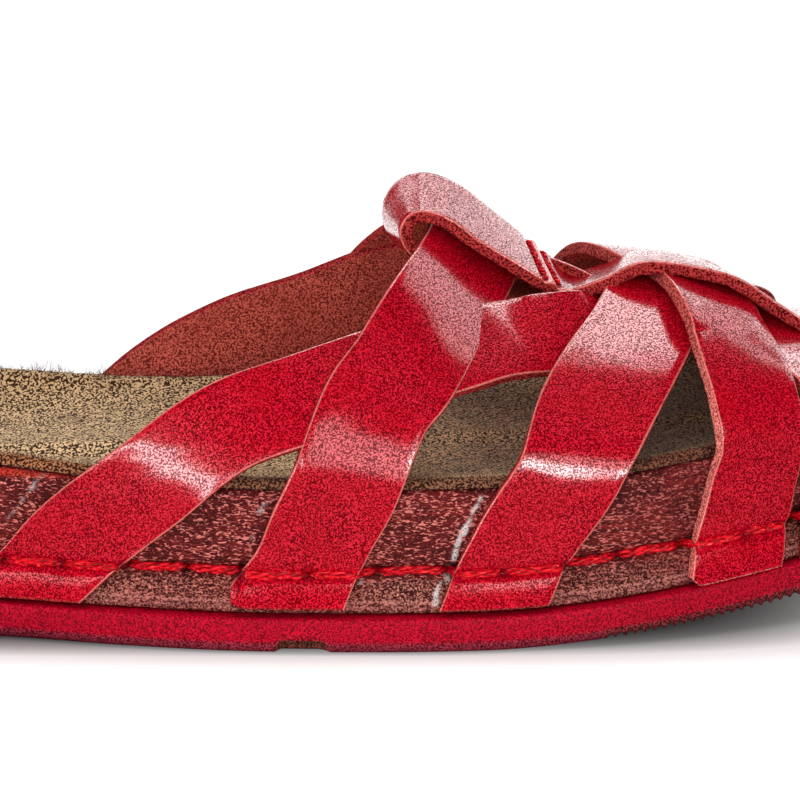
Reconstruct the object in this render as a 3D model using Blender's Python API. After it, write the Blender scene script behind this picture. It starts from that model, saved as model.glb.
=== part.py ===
"""Flat sandal: a right-foot slide with an open heel and interlaced leather straps.

Lengths are in millimetres here and are turned into metres when a mesh is made.
+X points to the toe, +Y to the inner (big toe) side, -Y to the outer side and +Z up.
The sandal stands on z = 0, and x = 0 is the middle of its length.
"""

import bmesh
import bpy
import numpy as np

MM = 0.001

# Driving dimensions
LENGTH = 252.0          # whole length of the outsole
OUTSOLE_EDGE = 3.6      # how far the outsole stands out beyond the footbed wall line
OUTSOLE_HEIGHT = 6.6
BEVEL = 1.3             # chamfer round the bottom edge of the outsole
GAP = 0.3               # clearance between pieces
RIM_HEIGHT = 30.8       # top of the wall, where a strap bends inwards
LEATHER = 2.4           # thickness of a strap
INSOLE = 1.9            # thickness of the insole cover
HEEL_CUP = 2.2          # extra height of the insole edge round the heel
ARCH_RISE = 2.0         # extra height of the inner rim at the arch
HEEL_CENTRE = -92.0     # centre of the round heel
TOE_START = 62.0        # where the outline begins to close towards the toe
TOE_SHIFT = 9.0         # sideways place of the toe tip, towards the big toe
TOE_POWER = 2.25        # roundness of the toe
SPRING_START = 44.0     # the sole leaves the floor forward of here
SPRING_RISE = 9.0       # height of the toe tip above the floor
SPRING_POWER = 1.5
WAIST_GROOVE = {"from": 4.0, "to": 14.5, "depth": 1.8}
RING_POINTS = 76        # points round each ring of the sole
HALF = LENGTH / 2 - OUTSOLE_EDGE

# The wall line: half widths either side of the centre line at stations along the foot.
OUTLINE_COLUMNS = ("station", "outer", "inner")
OUTLINE = (
    (-126, 27.5, 27.5),
    (-94, 28.5, 28.5),
    (-70, 29.5, 29.5),
    (-46, 31.0, 28.5),
    (-25, 36.5, 28.0),
    (-4, 40.6, 31.0),
    (16, 41.7, 36.0),
    (36, 41.2, 40.0),
    (52, 39.0, 41.5),
    (68, 35.5, 41.5),
    (84, 31.0, 39.5),
    (100, 27.0, 36.0),
    (126, 22.0, 30.0),
)

# The footbed wall: height above the floor, and how far it stands out from the wall line.
# It has a flared foot, a groove for the sewing and a rounded top.
WALL_COLUMNS = ("height", "outset")
WALL = (
    (7.2, 1.1),
    (9.5, 1.0),
    (12.2, 0.3),
    (14.5, -0.8),
    (16.8, -0.2),
    (20.0, 0.1),
    (26.0, 0.0),
    (29.0, -0.6),
    (RIM_HEIGHT, -1.8),
)
WALL_BASE = WALL[0][0]

# The line a strap takes down the wall: it spans the rounded top, is drawn in by the sewing
# and flares out over the foot of the wall.
DRAPE_COLUMNS = ("height", "outset")
DRAPE = (
    (7.2, 1.3),
    (9.5, 1.1),
    (12.2, 0.5),
    (14.5, -0.2),
    (16.8, 0.0),
    (20.0, 0.2),
    (26.0, 0.2),
    (RIM_HEIGHT, 0.0),
)

# The last over the footbed: ridge of the instep, and fullness of the two flanks.
LAST_COLUMNS = ("station", "ridge_y", "ridge_z", "outer_power", "inner_power")
LAST = (
    (-60, 9.0, 79.0, 1.65, 1.75),
    (-30, 9.0, 77.0, 1.65, 1.75),
    (0, 9.0, 73.0, 1.65, 1.75),
    (20, 9.0, 67.0, 1.65, 1.75),
    (30, 9.0, 63.0, 1.65, 1.75),
    (38, 9.0, 59.3, 1.65, 1.75),
    (46, 8.0, 56.2, 1.65, 1.80),
    (56, 7.0, 53.5, 1.65, 1.80),
    (68, 7.0, 51.5, 1.70, 1.90),
    (80, 7.0, 50.0, 1.80, 2.00),
    (92, 7.5, 49.3, 2.20, 2.20),
    (100, 8.0, 48.6, 2.60, 2.40),
    (106, 8.0, 47.2, 2.60, 2.40),
    (112, 8.5, 44.5, 2.30, 2.20),
    (120, 9.0, 41.5, 2.00, 2.00),
)

# Straps over the last. around: 0 on the ridge, 1 at the rim, 2 at the foot of the wall,
# negative on the outer side. layer: how many straps lie under this one. roll lifts the edge
# that faces the heel, in degrees.
STRAP_COLUMNS = ("station", "around", "layer", "roll", "width")
STRAPS = {
    "rear_outer": (
        (-41.5, -1.97, 0, 0, 17.5),
        (-35.0, -1.66, 0, 0, 17.0),
        (-26.8, -1.33, 0, 0, 16.6),
        (-17.3, -1.00, 0, 0, 16.6),
        (-4.7, -0.86, 0, 0, 17.0),
        (12, -0.76, 0, 0, 17.5),
        (30, -0.61, 0, 0, 18.0),
        (46, -0.43, 0, 8, 18.0),
        (60, -0.26, 0, 12, 18.5),
        (75, -0.02, 0, 0, 19.0),
        (86, 0.16, 0, 0, 19.0),
        (95, 0.32, 0, 0, 19.0),
        (101, 0.52, 0, 0, 18.5),
        (105, 0.76, 0, 0, 18.0),
        (107, 1.00, 0, 0, 18.0),
        (107.5, 1.33, 0, 0, 18.0),
        (107, 1.66, 0, 0, 18.0),
        (106.5, 1.97, 0, 0, 18.0),
    ),
    "rear_inner": (
        (-41.5, 1.97, 0, 0, 17.5),
        (-35.0, 1.66, 0, 0, 17.5),
        (-26.5, 1.33, 0, 0, 17.5),
        (-16.5, 1.00, 0, 0, 17.5),
        (-3.5, 0.86, 0, 0, 17.5),
        (13, 0.75, 0.1, -4, 18.0),
        (30, 0.56, 0.3, -8, 18.5),
        (46, 0.37, 0.7, -14, 18.5),
        (60, 0.20, 1.1, -16, 18.5),
        (75, 0.02, 1, -4, 19.0),
        (86, -0.16, 1, 0, 19.0),
        (95, -0.32, 0.2, 0, 19.0),
        (101.5, -0.50, 0, 0, 18.0),
        (106, -0.75, 0, 0, 17.0),
        (107.5, -1.00, 0, 0, 17.0),
        (108, -1.33, 0, 0, 17.0),
        (107.5, -1.66, 0, 0, 17.0),
        (107, -1.97, 0, 0, 17.0),
    ),
    "instep": (
        (5.7, -1.97, 0, 0, 19.6),
        (9.5, -1.66, 0, 0, 18.6),
        (13.3, -1.33, 0, 0, 18.8),
        (18.0, -1.00, 0.1, 0, 19.6),
        (23.2, -0.80, 0.6, 4, 20.2),
        (27.0, -0.68, 0.9, 8, 20.2),
        (32.0, -0.48, 1.3, 12, 20.0),
        (36, -0.28, 1.6, 12, 19.5),
        (38.5, -0.08, 2.1, 8, 19.5),
        (38, 0.10, 2.3, 0, 19.5),
        (31.5, 0.40, 1.6, 0, 19.5),
        (23, 0.70, 0.9, 0, 19.5),
        (15, 1.00, 0.1, 0, 19.0),
        (9, 1.33, 0, 0, 18.5),
        (5, 1.66, 0, 0, 18.0),
        (2, 1.97, 0, 0, 18.0),
    ),
    "middle_outer": (
        (43.6, -1.97, 0, 0, 18.4),
        (46.9, -1.66, 0, 0, 18.4),
        (51.2, -1.33, 0, 0, 18.6),
        (56.8, -1.00, 0.1, 0, 19.0),
        (62.4, -0.80, 0.4, 3, 19.5),
        (67, -0.60, 0.9, 6, 19.5),
        (70.5, -0.42, 1.3, 8, 19.5),
        (73.8, -0.20, 1.9, 6, 19.5),
        (78, 0.00, 2, 0, 19.5),
        (83.5, 0.25, 2, 0, 19.5),
        (88, 0.60, 0.9, 0, 19.0),
        (88.5, 1.00, 0.1, 0, 17.5),
        (87, 1.50, 0, 0, 17.5),
        (85.5, 1.97, 0, 0, 17.5),
    ),
    "front_outer": (
        (87.6, -1.97, 0, 0, 17.8),
        (88.6, -1.66, 0, 0, 17.8),
        (91.2, -1.33, 0, 0, 17.8),
        (93.0, -1.00, 0.7, 4, 18.2),
        (92.2, -0.75, 1, 12, 19.0),
        (89.6, -0.50, 1.7, 18, 19.5),
        (86.4, -0.30, 2.3, 20, 19.5),
        (81.5, 0.00, 3.1, 8, 19.5),
        (75.5, 0.18, 3.0, 0, 19.5),
        (66, 0.50, 2.5, 0, 19.5),
        (57.5, 1.00, 0.2, 0, 18.5),
        (51.5, 1.50, 0, 0, 18.0),
        (47.5, 1.97, 0, 0, 18.0),
    ),
}
STRAP_LAYER = 2.0      # rise per strap crossed, a little under the leather's thickness
STRAP_STEPS = 42
STRAP_CELLS = 4         # cells across the width of a strap
STRAP_FOOT = 2.01       # around at which a strap is cut off level above the outsole

# The centre strap, in the middle of its thickness: its tail lies under the instep strap,
# it folds back over that strap in a loop, lies over every crossing and ends on the toe wall.
# crown: how far its edges lie below its middle.
CENTRE_COLUMNS = ("x", "y", "z", "roll", "crown")
CENTRE_STRAP = (
    (55.5, 4.0, 54.6, 0, 0),
    (51.0, 3.8, 55.3, 1, 0),
    (46.0, 3.5, 56.4, 3, 0),
    (39.0, 3.0, 60.2, 6, 0),
    (33.0, 3.0, 63.6, 9, 0),
    (28.5, 3.0, 66.4, 11, 0),
    (26.3, 3.0, 69.9, 11, 0),
    (28.3, 3.0, 73.3, 11, 0),
    (32.0, 3.0, 74.1, 11, 0),
    (37.0, 3.0, 72.0, 10, 0),
    (42.0, 3.0, 68.4, 9, 0.2),
    (48.5, 3.0, 63.9, 6, 0.3),
    (53.5, 3.5, 60.0, 3, 0),
    (59.0, 4.0, 57.3, -4, 0),
    (65.0, 4.0, 58.6, -5, 0),
    (72.0, 4.0, 61.9, -6, 0.3),
    (80.5, 4.5, 61.0, -8, 0.5),
    (88.0, 5.0, 58.3, -12, 0.5),
    (95.0, 5.5, 54.6, -12, 0.5),
    (101.0, 6.5, 51.8, -4, 0.6),
    (107.0, 7.5, 49.8, 0, 0.7),
    (112.5, 8.3, 48.0, 0, 0.8),
    (117.5, 8.8, 45.6, 0, 0.9),
    (121.3, 9.0, 42.4, 0, 1.0),
    (123.6, 9.0, 38.3, 0, 1.0),
    (124.3, 9.0, 33.0, 0, 1.0),
    (124.2, 9.0, 28.0, 0, 1.0),
    (124.0, 9.0, 23.8, 0, 1.0),
    (124.3, 9.0, 20.6, 0, 1.0),
    (124.8, 9.0, 17.4, 0, 1.0),
)
CENTRE_WIDTH = 18.0
CENTRE_STEPS = 70


def smooth_rows(rows, at):
    """Cubic curve through rows of (place, values ...), read at each place in at."""
    rows = np.asarray(rows, float)
    places, values = rows[:, 0], rows[:, 1:]
    slopes = np.gradient(values, places, axis=0)
    at = np.clip(np.asarray(at, float), places[0], places[-1])
    row = np.clip(np.searchsorted(places, at, side="right") - 1, 0, len(places) - 2)
    span = (places[row + 1] - places[row])[..., None]
    t = (at - places[row])[..., None] / span
    return (
        (2 * t**3 - 3 * t**2 + 1) * values[row]
        + (t**3 - 2 * t**2 + t) * span * slopes[row]
        + (3 * t**2 - 2 * t**3) * values[row + 1]
        + (t**3 - t**2) * span * slopes[row + 1]
    )


def smooth_path(rows, count):
    """Cubic curve through the rows themselves, as count samples evenly spaced in row number."""
    numbered = np.column_stack([np.arange(len(rows)), np.asarray(rows, float)])
    return smooth_rows(numbered, np.linspace(0, len(rows) - 1, count))


def spring(x):
    """Height of the sole above the floor at x: level, then rising to the toe tip."""
    t = np.clip((np.asarray(x, float) - SPRING_START) / (LENGTH / 2 - SPRING_START), 0, None)
    return SPRING_RISE * t**SPRING_POWER


def smooth_step(t):
    t = np.clip(t, 0, 1)
    return t * t * (3 - 2 * t)


def wall_lines(x):
    """y of the outer and of the inner wall line at x."""
    x = np.asarray(x, float)
    halves = smooth_rows(OUTLINE, x)
    heel = np.clip((HEEL_CENTRE - x) / (HEEL_CENTRE + HALF), 0, 1)
    toe = np.clip((x - TOE_START) / (HALF - TOE_START), 0, 1)
    closing = np.sqrt(1 - heel**2) * (1 - toe**TOE_POWER) ** (1 / TOE_POWER)
    centre = TOE_SHIFT * np.clip((x - 10) / (HALF - 10), 0, 1) ** 2
    outer = centre - (halves[..., 0] + centre) * closing
    inner = centre + (halves[..., 1] - centre) * closing
    return outer, inner


def wall_ring(count):
    """The wall line as count points evenly spaced round it, with outward normals in plan."""
    x = HALF * np.cos(np.linspace(np.pi, 0, 400))
    outer, inner = wall_lines(x)
    loop = np.vstack([np.column_stack([x, outer]), np.column_stack([x, inner])[-2:0:-1]])
    closed = np.vstack([loop, loop[:1]])
    run = np.concatenate([[0], np.cumsum(np.linalg.norm(np.diff(closed, axis=0), axis=1))])
    at = np.linspace(0, run[-1], count, endpoint=False)
    ring = np.column_stack([np.interp(at, run, closed[:, axis]) for axis in (0, 1)])
    ahead = np.roll(ring, -1, axis=0) - np.roll(ring, 1, axis=0)
    ahead /= np.linalg.norm(ahead, axis=1, keepdims=True)
    return ring, np.column_stack([ahead[:, 1], -ahead[:, 0]])


RING, RING_NORMALS = wall_ring(RING_POINTS)


def arch_rise(x, y):
    """Extra height of the footbed on its inner side, highest at the arch and none outside."""
    inner_side = smooth_step((np.asarray(y, float) + 10) / 30)
    along = np.exp(-(((np.asarray(x, float) + 20) / 60) ** 2))
    return ARCH_RISE * inner_side * (0.4 + 0.6 * along)


def ring_at(outset, height, lift_arch=0.0):
    """The wall line moved out by outset, at a height over the sprung sole."""
    plan = RING + RING_NORMALS * outset
    z = height + spring(plan[:, 0]) + lift_arch * arch_rise(RING[:, 0], RING[:, 1])
    return np.column_stack([plan, z])


def spine_of(ring):
    """For each point of a ring, the nearest place on a line down the middle of the foot."""
    x = np.clip(ring[:, 0], -82, 78)
    outer, inner = wall_lines(x)
    return np.column_stack([x, (outer + inner) / 2])


def shrunk(ring, share, drop):
    """A ring drawn in towards the middle of the foot, and lowered by drop(x)."""
    middle = spine_of(ring)
    plan = middle + (ring[:, :2] - middle) * share
    z = ring[:, 2] + spring(plan[:, 0]) - spring(ring[:, 0]) - drop(plan[:, 0])
    return np.column_stack([plan, z])


def cup_depth(x):
    """How far the footbed dips below its rim: deepest in the heel, shallow at the toes."""
    return 3.4 + 3.4 * smooth_step((10 - np.asarray(x, float)) / 80)


def cup_rings(rim, shares):
    """Rings from the rim down into the cup, a steep side that levels out in the middle."""
    return [shrunk(rim, s, lambda x, s=s: cup_depth(x) * (1 - s**4)) for s in shares]


def add_object(name, build, colour, roughness, collection):
    """A named object from a bmesh, in metres, with its own material."""
    mesh = bpy.data.meshes.new(name)
    bmesh.ops.recalc_face_normals(build, faces=build.faces)
    bmesh.ops.scale(build, vec=(MM, MM, MM), verts=build.verts)
    build.to_mesh(mesh)
    build.free()
    piece = bpy.data.objects.new(name, mesh)
    collection.objects.link(piece)
    material = bpy.data.materials.new(name)
    material.use_nodes = True
    shader = material.node_tree.nodes["Principled BSDF"]
    shader.inputs["Base Color"].default_value = (*colour, 1)
    shader.inputs["Roughness"].default_value = roughness
    shader.inputs["Metallic"].default_value = 0
    mesh.materials.append(material)
    mesh.shade_smooth()
    mesh.set_sharp_from_angle(angle=0.7)
    return piece




def cap_pairs(count):
    """Faces that bridge a ring across the foot, from the heel to the toe."""
    middle = count // 2
    faces = [(0, 1, count - 1)]
    faces += [(i, i + 1, count - 1 - i, count - i) for i in range(1, middle - 1)]
    faces.append((middle - 1, middle, middle + 1))
    return faces


def lofted(rings):
    """A closed body through rings of equal count; the first and the last are bridged over."""
    build = bmesh.new()
    loops = [[build.verts.new(point) for point in ring] for ring in rings]
    count = len(loops[0])
    for low, high in zip(loops, loops[1:]):
        for i in range(count):
            j = (i + 1) % count
            build.faces.new((low[i], low[j], high[j], high[i]))
    for end in (loops[0], loops[-1]):
        for corners in cap_pairs(count):
            build.faces.new([end[i] for i in corners])
    return build


def make_outsole():
    """A slab with a chamfered bottom edge that follows the toe spring."""
    side = [
        ring_at(OUTSOLE_EDGE - BEVEL, 0),
        ring_at(OUTSOLE_EDGE - 0.1, BEVEL),
        ring_at(OUTSOLE_EDGE, OUTSOLE_HEIGHT - 0.8),
        ring_at(OUTSOLE_EDGE - 0.5, OUTSOLE_HEIGHT),
    ]
    return lofted(side)


def make_midsole():
    """The footbed block: flared wall with its sewing groove, and a cupped top."""
    wall = [ring_at(outset, height, (height - WALL_BASE) / (RIM_HEIGHT - WALL_BASE))
            for height, outset in WALL[:-1]]
    foot = ring_at(WALL[0][1] - 0.4, OUTSOLE_HEIGHT + GAP)
    rim = ring_at(WALL[-2][1] - 1.4, WALL[-2][0] + 0.5, 1.0)
    return lofted([foot] + wall + [rim] + cup_rings(rim, (0.9, 0.78, 0.62, 0.35, 0.06)))


def heel_lip(x):
    """Extra height of the insole edge, growing towards the heel."""
    return HEEL_CUP * smooth_step((-12 - np.asarray(x, float)) / 45)


def make_insole():
    """The cover that lines the cup: an even sheet with a thicker lip round the heel."""
    edge = WALL[-2][1]
    base = WALL[-2][0] + 0.5 + GAP
    lip = heel_lip(RING[:, 0])
    under = ring_at(edge - 1.4, base, 1.0)
    outer_low = ring_at(edge - 0.3, base - 0.1, 1.0)
    outer_high = ring_at(edge - 0.7, base + INSOLE - 0.7, 1.0)
    crest = ring_at(edge - 1.9, base + INSOLE, 1.0)
    inside = ring_at(edge - 3.4, base + INSOLE - 0.5, 1.0)
    for ring, share in ((outer_high, 1.0), (crest, 1.0), (inside, 0.75)):
        ring[:, 2] += lip * share
    top_rim = ring_at(edge - 1.4, base + INSOLE, 1.0)
    shares = (0.06, 0.35, 0.62, 0.78, 0.9)
    under_rings = cup_rings(under, shares)
    top_rings = cup_rings(top_rim, shares[::-1])
    return lofted(under_rings + [under, outer_low, outer_high, crest, inside] + top_rings)


class Last:
    """The form the straps lie on: cross-sections with the wall below and the instep above.

    A place on it is (x, run): the station and the distance along the section from the
    ridge, negative on the outer side.
    """

    STEP_X = 1.0
    STEP_RUN = 0.5
    SPREAD = 1.6        # how far the leather rounds off a corner of the section
    REACH = 120.0

    def __init__(self):
        self.x = np.arange(-80.0, 121.5, self.STEP_X)
        self.run = np.arange(-self.REACH, self.REACH, self.STEP_RUN)
        sections = [self.section(x) for x in self.x]
        self.grid = np.array([points for points, _ in sections])
        self.marks = np.array([marks for _, marks in sections])

    def section(self, x):
        """One rounded section at x, and its run at around = -2, -1, 0, 1 and 2."""
        outer, inner = wall_lines(x)
        slopes = np.subtract(wall_lines(x + 0.3), wall_lines(x - 0.3)) / 0.6
        ridge_y, ridge_z, outer_power, inner_power = smooth_rows(LAST, x)
        height = np.linspace(WALL_BASE, RIM_HEIGHT, 40)
        outset = smooth_rows(DRAPE, height)[:, 0]
        climb = (height - WALL_BASE) / (RIM_HEIGHT - WALL_BASE)
        sides = []
        both = ((outer, -1, outer_power, slopes[0]), (inner, 1, inner_power, slopes[1]))
        for edge, out, power, slope in both:
            y = edge + out * outset * np.hypot(1, slope)
            wall = np.column_stack([y, height + spring(x) + climb * arch_rise(x, edge)])
            angle = np.linspace(0, np.pi / 2, 90)[1:]
            across = ridge_y + (wall[-1, 0] - ridge_y) * np.cos(angle) ** (2 / power)
            rise = wall[-1, 1] + (ridge_z - wall[-1, 1]) * np.sin(angle) ** (2 / power)
            sides.append((wall, np.column_stack([across, rise])))
        (wall_a, flank_a), (wall_b, flank_b) = sides
        points = np.vstack([wall_a, flank_a, flank_b[-2::-1], wall_b[::-1]])
        run = np.concatenate([[0], np.cumsum(np.linalg.norm(np.diff(points, axis=0), axis=1))])
        ends = np.cumsum([len(wall_a), len(flank_a), len(flank_b) - 1]) - 1
        marks = np.array([run[0], run[ends[0]], run[ends[1]], run[ends[2] + 1], run[-1]])
        run, marks = run - run[ends[1]], marks - run[ends[1]]
        return self.rounded(x, points, run), marks

    def rounded(self, x, points, run):
        """The section sampled at even runs, with its corners rounded off by a moving mean."""
        margin = 25.0
        first = (points[0] - points[2]) / np.linalg.norm(points[0] - points[2])
        last = (points[-1] - points[-3]) / np.linalg.norm(points[-1] - points[-3])
        points = np.vstack([points[0] + first * margin, points, points[-1] + last * margin])
        run = np.concatenate([[run[0] - margin], run, [run[-1] + margin]])
        reach = int(3 * self.SPREAD / self.STEP_RUN)
        offsets = np.arange(-reach, reach + 1) * self.STEP_RUN
        weights = np.exp(-0.5 * (offsets / self.SPREAD) ** 2)
        weights /= weights.sum()
        plain = [np.interp(self.run, run, points[:, axis]) for axis in (0, 1)]
        soft = [np.convolve(np.pad(v, reach, mode="edge"), weights, "valid") for v in plain]
        return np.column_stack([np.full(len(self.run), x), *soft])

    def to_run(self, x, around):
        """Run of a place given as around, -2 to 2, at station x."""
        marks = np.array([np.interp(x, self.x, self.marks[:, i]) for i in range(5)]).T
        side = np.clip(np.floor(around + 2).astype(int), 0, 3)
        low = np.take_along_axis(marks, side[:, None], 1)[:, 0]
        high = np.take_along_axis(marks, side[:, None] + 1, 1)[:, 0]
        return low + (high - low) * (around + 2 - side)

    def to_around(self, x, run):
        """The around of a place given by its run, the inverse of to_run."""
        marks = np.array([np.interp(x, self.x, self.marks[:, i]) for i in range(5)]).T
        side = np.clip((run[:, None] > marks[:, 1:4]).sum(1), 0, 3)
        low = np.take_along_axis(marks, side[:, None], 1)[:, 0]
        high = np.take_along_axis(marks, side[:, None] + 1, 1)[:, 0]
        return side - 2 + (run - low) / (high - low)

    def beside(self, x, run, side, distance):
        """The place a distance away in the direction side, which lies in the surface."""
        by_x, by_run, _normal = self.slopes(x, run)
        xx, xr, rr = dot(by_x, by_x), dot(by_x, by_run), dot(by_run, by_run)
        go_x, go_run = dot(side, by_x), dot(side, by_run)
        scale = distance / (xx * rr - xr**2)
        return x + (go_x * rr - go_run * xr) * scale, run + (go_run * xx - go_x * xr) * scale

    def point(self, x, run):
        """The point at (x, run), between the four nearest samples."""
        u = np.clip((x - self.x[0]) / self.STEP_X, 0, len(self.x) - 1.001)
        v = np.clip((run - self.run[0]) / self.STEP_RUN, 0, len(self.run) - 1.001)
        i, j = u.astype(int), v.astype(int)
        u, v = (u - i)[..., None], (v - j)[..., None]
        near = self.grid[i, j] * (1 - v) + self.grid[i, j + 1] * v
        far = self.grid[i + 1, j] * (1 - v) + self.grid[i + 1, j + 1] * v
        return near * (1 - u) + far * u

    def slopes(self, x, run, step=0.8):
        """Change of the point per millimetre of x and of run, and the outward normal."""
        by_x = (self.point(x + step, run) - self.point(x - step, run)) / (2 * step)
        by_run = (self.point(x, run + step) - self.point(x, run - step)) / (2 * step)
        normal = np.cross(by_x, by_run)
        return by_x, by_run, normal / np.linalg.norm(normal, axis=-1, keepdims=True)


def unit(vectors):
    return vectors / np.linalg.norm(vectors, axis=-1, keepdims=True)


def dot(a, b):
    return (a * b).sum(-1)


def even_samples(track, rows, count):
    """Rows resampled so that their track points lie evenly spaced along the track."""
    run = np.concatenate([[0], np.cumsum(np.linalg.norm(np.diff(track, axis=0), axis=1))])
    at = np.linspace(0, run[-1], count)
    return at, np.column_stack([np.interp(at, run, column) for column in rows.T])


def strap_sheet(last, rows):
    """Mid-surface of a strap that follows the last, and its normals, as (cells, steps) grids.

    Lines run along the strap at even offsets across its width, each cut off level at the
    foot of the wall. An offset is taken along the last, square to the middle line.
    """
    rows = np.asarray(rows, float)
    keys = np.column_stack([rows[:, 0], last.to_run(rows[:, 0], rows[:, 1]), rows[:, 2:]])
    first, final = 2 * keys[0] - keys[1], 2 * keys[-1] - keys[-2]
    x, run, layer, roll, width = smooth_path(np.vstack([first, keys, final]), 1200).T
    by_x, by_run, normal = last.slopes(x, run)
    ahead = unit(np.gradient(last.point(x, run), axis=0))
    side = unit(np.cross(normal, ahead))
    tilt = np.radians(roll)
    lines = []
    for offset in np.linspace(-0.5, 0.5, STRAP_CELLS + 1):
        along_x, along_run = last.beside(x, run, side, width * offset * np.cos(tilt))
        around = last.to_around(along_x, along_run)
        lift = LEATHER / 2 + GAP + np.maximum(layer, 0) * STRAP_LAYER
        lift = lift + width * offset * np.sin(tilt)
        inside = np.flatnonzero(np.abs(around) < STRAP_FOOT)
        at = np.linspace(inside[0], inside[-1], STRAP_STEPS + 1)
        place = [np.interp(at, np.arange(len(x)), v) for v in (along_x, along_run, lift)]
        out = last.slopes(*place[:2])[2]
        lines.append(last.point(*place[:2]) + out * place[2][:, None])
    sheet = np.array(lines)
    faces = unit(np.cross(np.gradient(sheet, axis=0), np.gradient(sheet, axis=1)))
    return sheet, faces * np.sign(dot(faces, sheet - np.array([0, 0, 20.0])))[..., None]


def centre_sheet():
    """Mid-surface of the centre strap and its normals, level across but for its roll."""
    fine = smooth_path(CENTRE_STRAP, 900)
    at, samples = even_samples(fine[:, :3], fine, CENTRE_STEPS + 1)
    middle, roll, crown = samples[:, :3], np.radians(samples[:, 3]), samples[:, 4]
    ahead = unit(np.gradient(middle, at, axis=0))
    outward = unit(np.cross(ahead, (0.0, 1.0, 0.0)))
    across = np.cross(outward, ahead)
    side = across * np.cos(roll)[:, None] + np.cross(ahead, across) * np.sin(roll)[:, None]
    normal = np.cross(ahead, side)
    share = np.linspace(-1, 1, STRAP_CELLS + 1)[:, None]
    sheet = middle[:, None] + side[:, None] * (CENTRE_WIDTH / 2 * share)
    sheet = sheet - normal[:, None] * (crown[:, None] * share[:, 0] ** 2)[..., None]
    tilt = 4 * crown[:, None] / CENTRE_WIDTH * share[:, 0]
    return sheet, unit(normal[:, None] + side[:, None] * tilt[..., None])


def thickened(sheet, normals):
    """A closed body of leather round a mid-surface."""
    build = bmesh.new()
    layers = []
    for offset in (LEATHER / 2, -LEATHER / 2):
        points = sheet + normals * offset
        layers.append([[build.verts.new(point) for point in row] for row in points])
    top, under = layers
    for layer in layers:
        for row, following in zip(layer, layer[1:]):
            for j in range(len(row) - 1):
                build.faces.new((row[j], row[j + 1], following[j + 1], following[j]))
    for j in (0, -1):
        for a, b, c, d in zip(top, top[1:], under, under[1:]):
            build.faces.new((a[j], b[j], d[j], c[j]))
    for i in (0, -1):
        for j in range(len(top[i]) - 1):
            build.faces.new((top[i][j], top[i][j + 1], under[i][j + 1], under[i][j]))
    return build


def union(piece, others):
    """Joins each other strap to the piece with a Boolean and hides it."""
    for other in others:
        other.hide_render = True
        other.display_type = "WIRE"
        join = piece.modifiers.new("with_" + other.name, "BOOLEAN")
        join.operation = "UNION"
        join.object = other


def cut_waist_groove(outsole, cutters):
    """A shallow groove across the bottom where the heel part of the sole ends."""
    middle = (WAIST_GROOVE["from"] + WAIST_GROOVE["to"]) / 2
    build = bmesh.new()
    bmesh.ops.create_cube(build, size=1)
    width = WAIST_GROOVE["to"] - WAIST_GROOVE["from"]
    bmesh.ops.scale(build, vec=(width, 120, 2 * WAIST_GROOVE["depth"]), verts=build.verts)
    bmesh.ops.translate(build, vec=(middle, 0, 0), verts=build.verts)
    cutter = add_object("waist_groove_cutter", build, (0.5, 0.5, 0.5), 0.5, cutters)
    cutter.hide_render = True
    cutter.display_type = "WIRE"
    cut = outsole.modifiers.new("waist_groove", "BOOLEAN")
    cut.operation = "DIFFERENCE"
    cut.object = cutter


def main():
    for leftover in list(bpy.data.objects):
        bpy.data.objects.remove(leftover)
    sandal = bpy.data.collections.new("flat_sandal")
    cutters = bpy.data.collections.new("cutters_and_joined_straps")
    for collection in (sandal, cutters):
        bpy.context.scene.collection.children.link(collection)
    outsole = add_object("outsole", make_outsole(), (0.42, 0.008, 0.015), 0.5, sandal)
    cut_waist_groove(outsole, cutters)
    add_object("midsole", make_midsole(), (0.085, 0.03, 0.028), 0.8, sandal)
    add_object("insole", make_insole(), (0.2, 0.13, 0.055), 0.95, sandal)
    last = Last()
    red = (0.5, 0.008, 0.016)
    upper = add_object("upper", thickened(*centre_sheet()), red, 0.35, sandal)
    straps = [
        add_object(name, thickened(*strap_sheet(last, rows)), red, 0.35, cutters)
        for name, rows in STRAPS.items()
    ]
    union(upper, straps)


main()
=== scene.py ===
"""Visible model of a flat sandal: a right-foot slide with interlaced leather straps.

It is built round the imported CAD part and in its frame. Lengths are in millimetres and are
turned into metres when a mesh is made. +X points to the toe, +Y to the inner (big toe) side,
-Y to the outer side and +Z up. The sandal stands on z = 0.
"""

import bmesh
import bpy
import numpy as np
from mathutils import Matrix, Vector


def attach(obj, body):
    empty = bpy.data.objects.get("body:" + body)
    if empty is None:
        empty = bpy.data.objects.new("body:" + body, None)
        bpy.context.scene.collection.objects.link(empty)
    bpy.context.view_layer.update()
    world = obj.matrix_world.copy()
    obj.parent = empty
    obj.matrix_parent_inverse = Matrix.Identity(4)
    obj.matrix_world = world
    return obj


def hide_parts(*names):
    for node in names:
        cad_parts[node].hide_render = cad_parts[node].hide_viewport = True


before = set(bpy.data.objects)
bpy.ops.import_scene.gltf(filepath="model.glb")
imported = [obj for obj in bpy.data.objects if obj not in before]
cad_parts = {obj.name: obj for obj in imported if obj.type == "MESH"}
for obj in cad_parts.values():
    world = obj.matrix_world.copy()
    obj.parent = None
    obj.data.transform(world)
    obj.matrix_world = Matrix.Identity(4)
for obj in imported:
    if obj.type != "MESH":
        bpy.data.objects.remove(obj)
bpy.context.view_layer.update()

MM = 0.001

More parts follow.
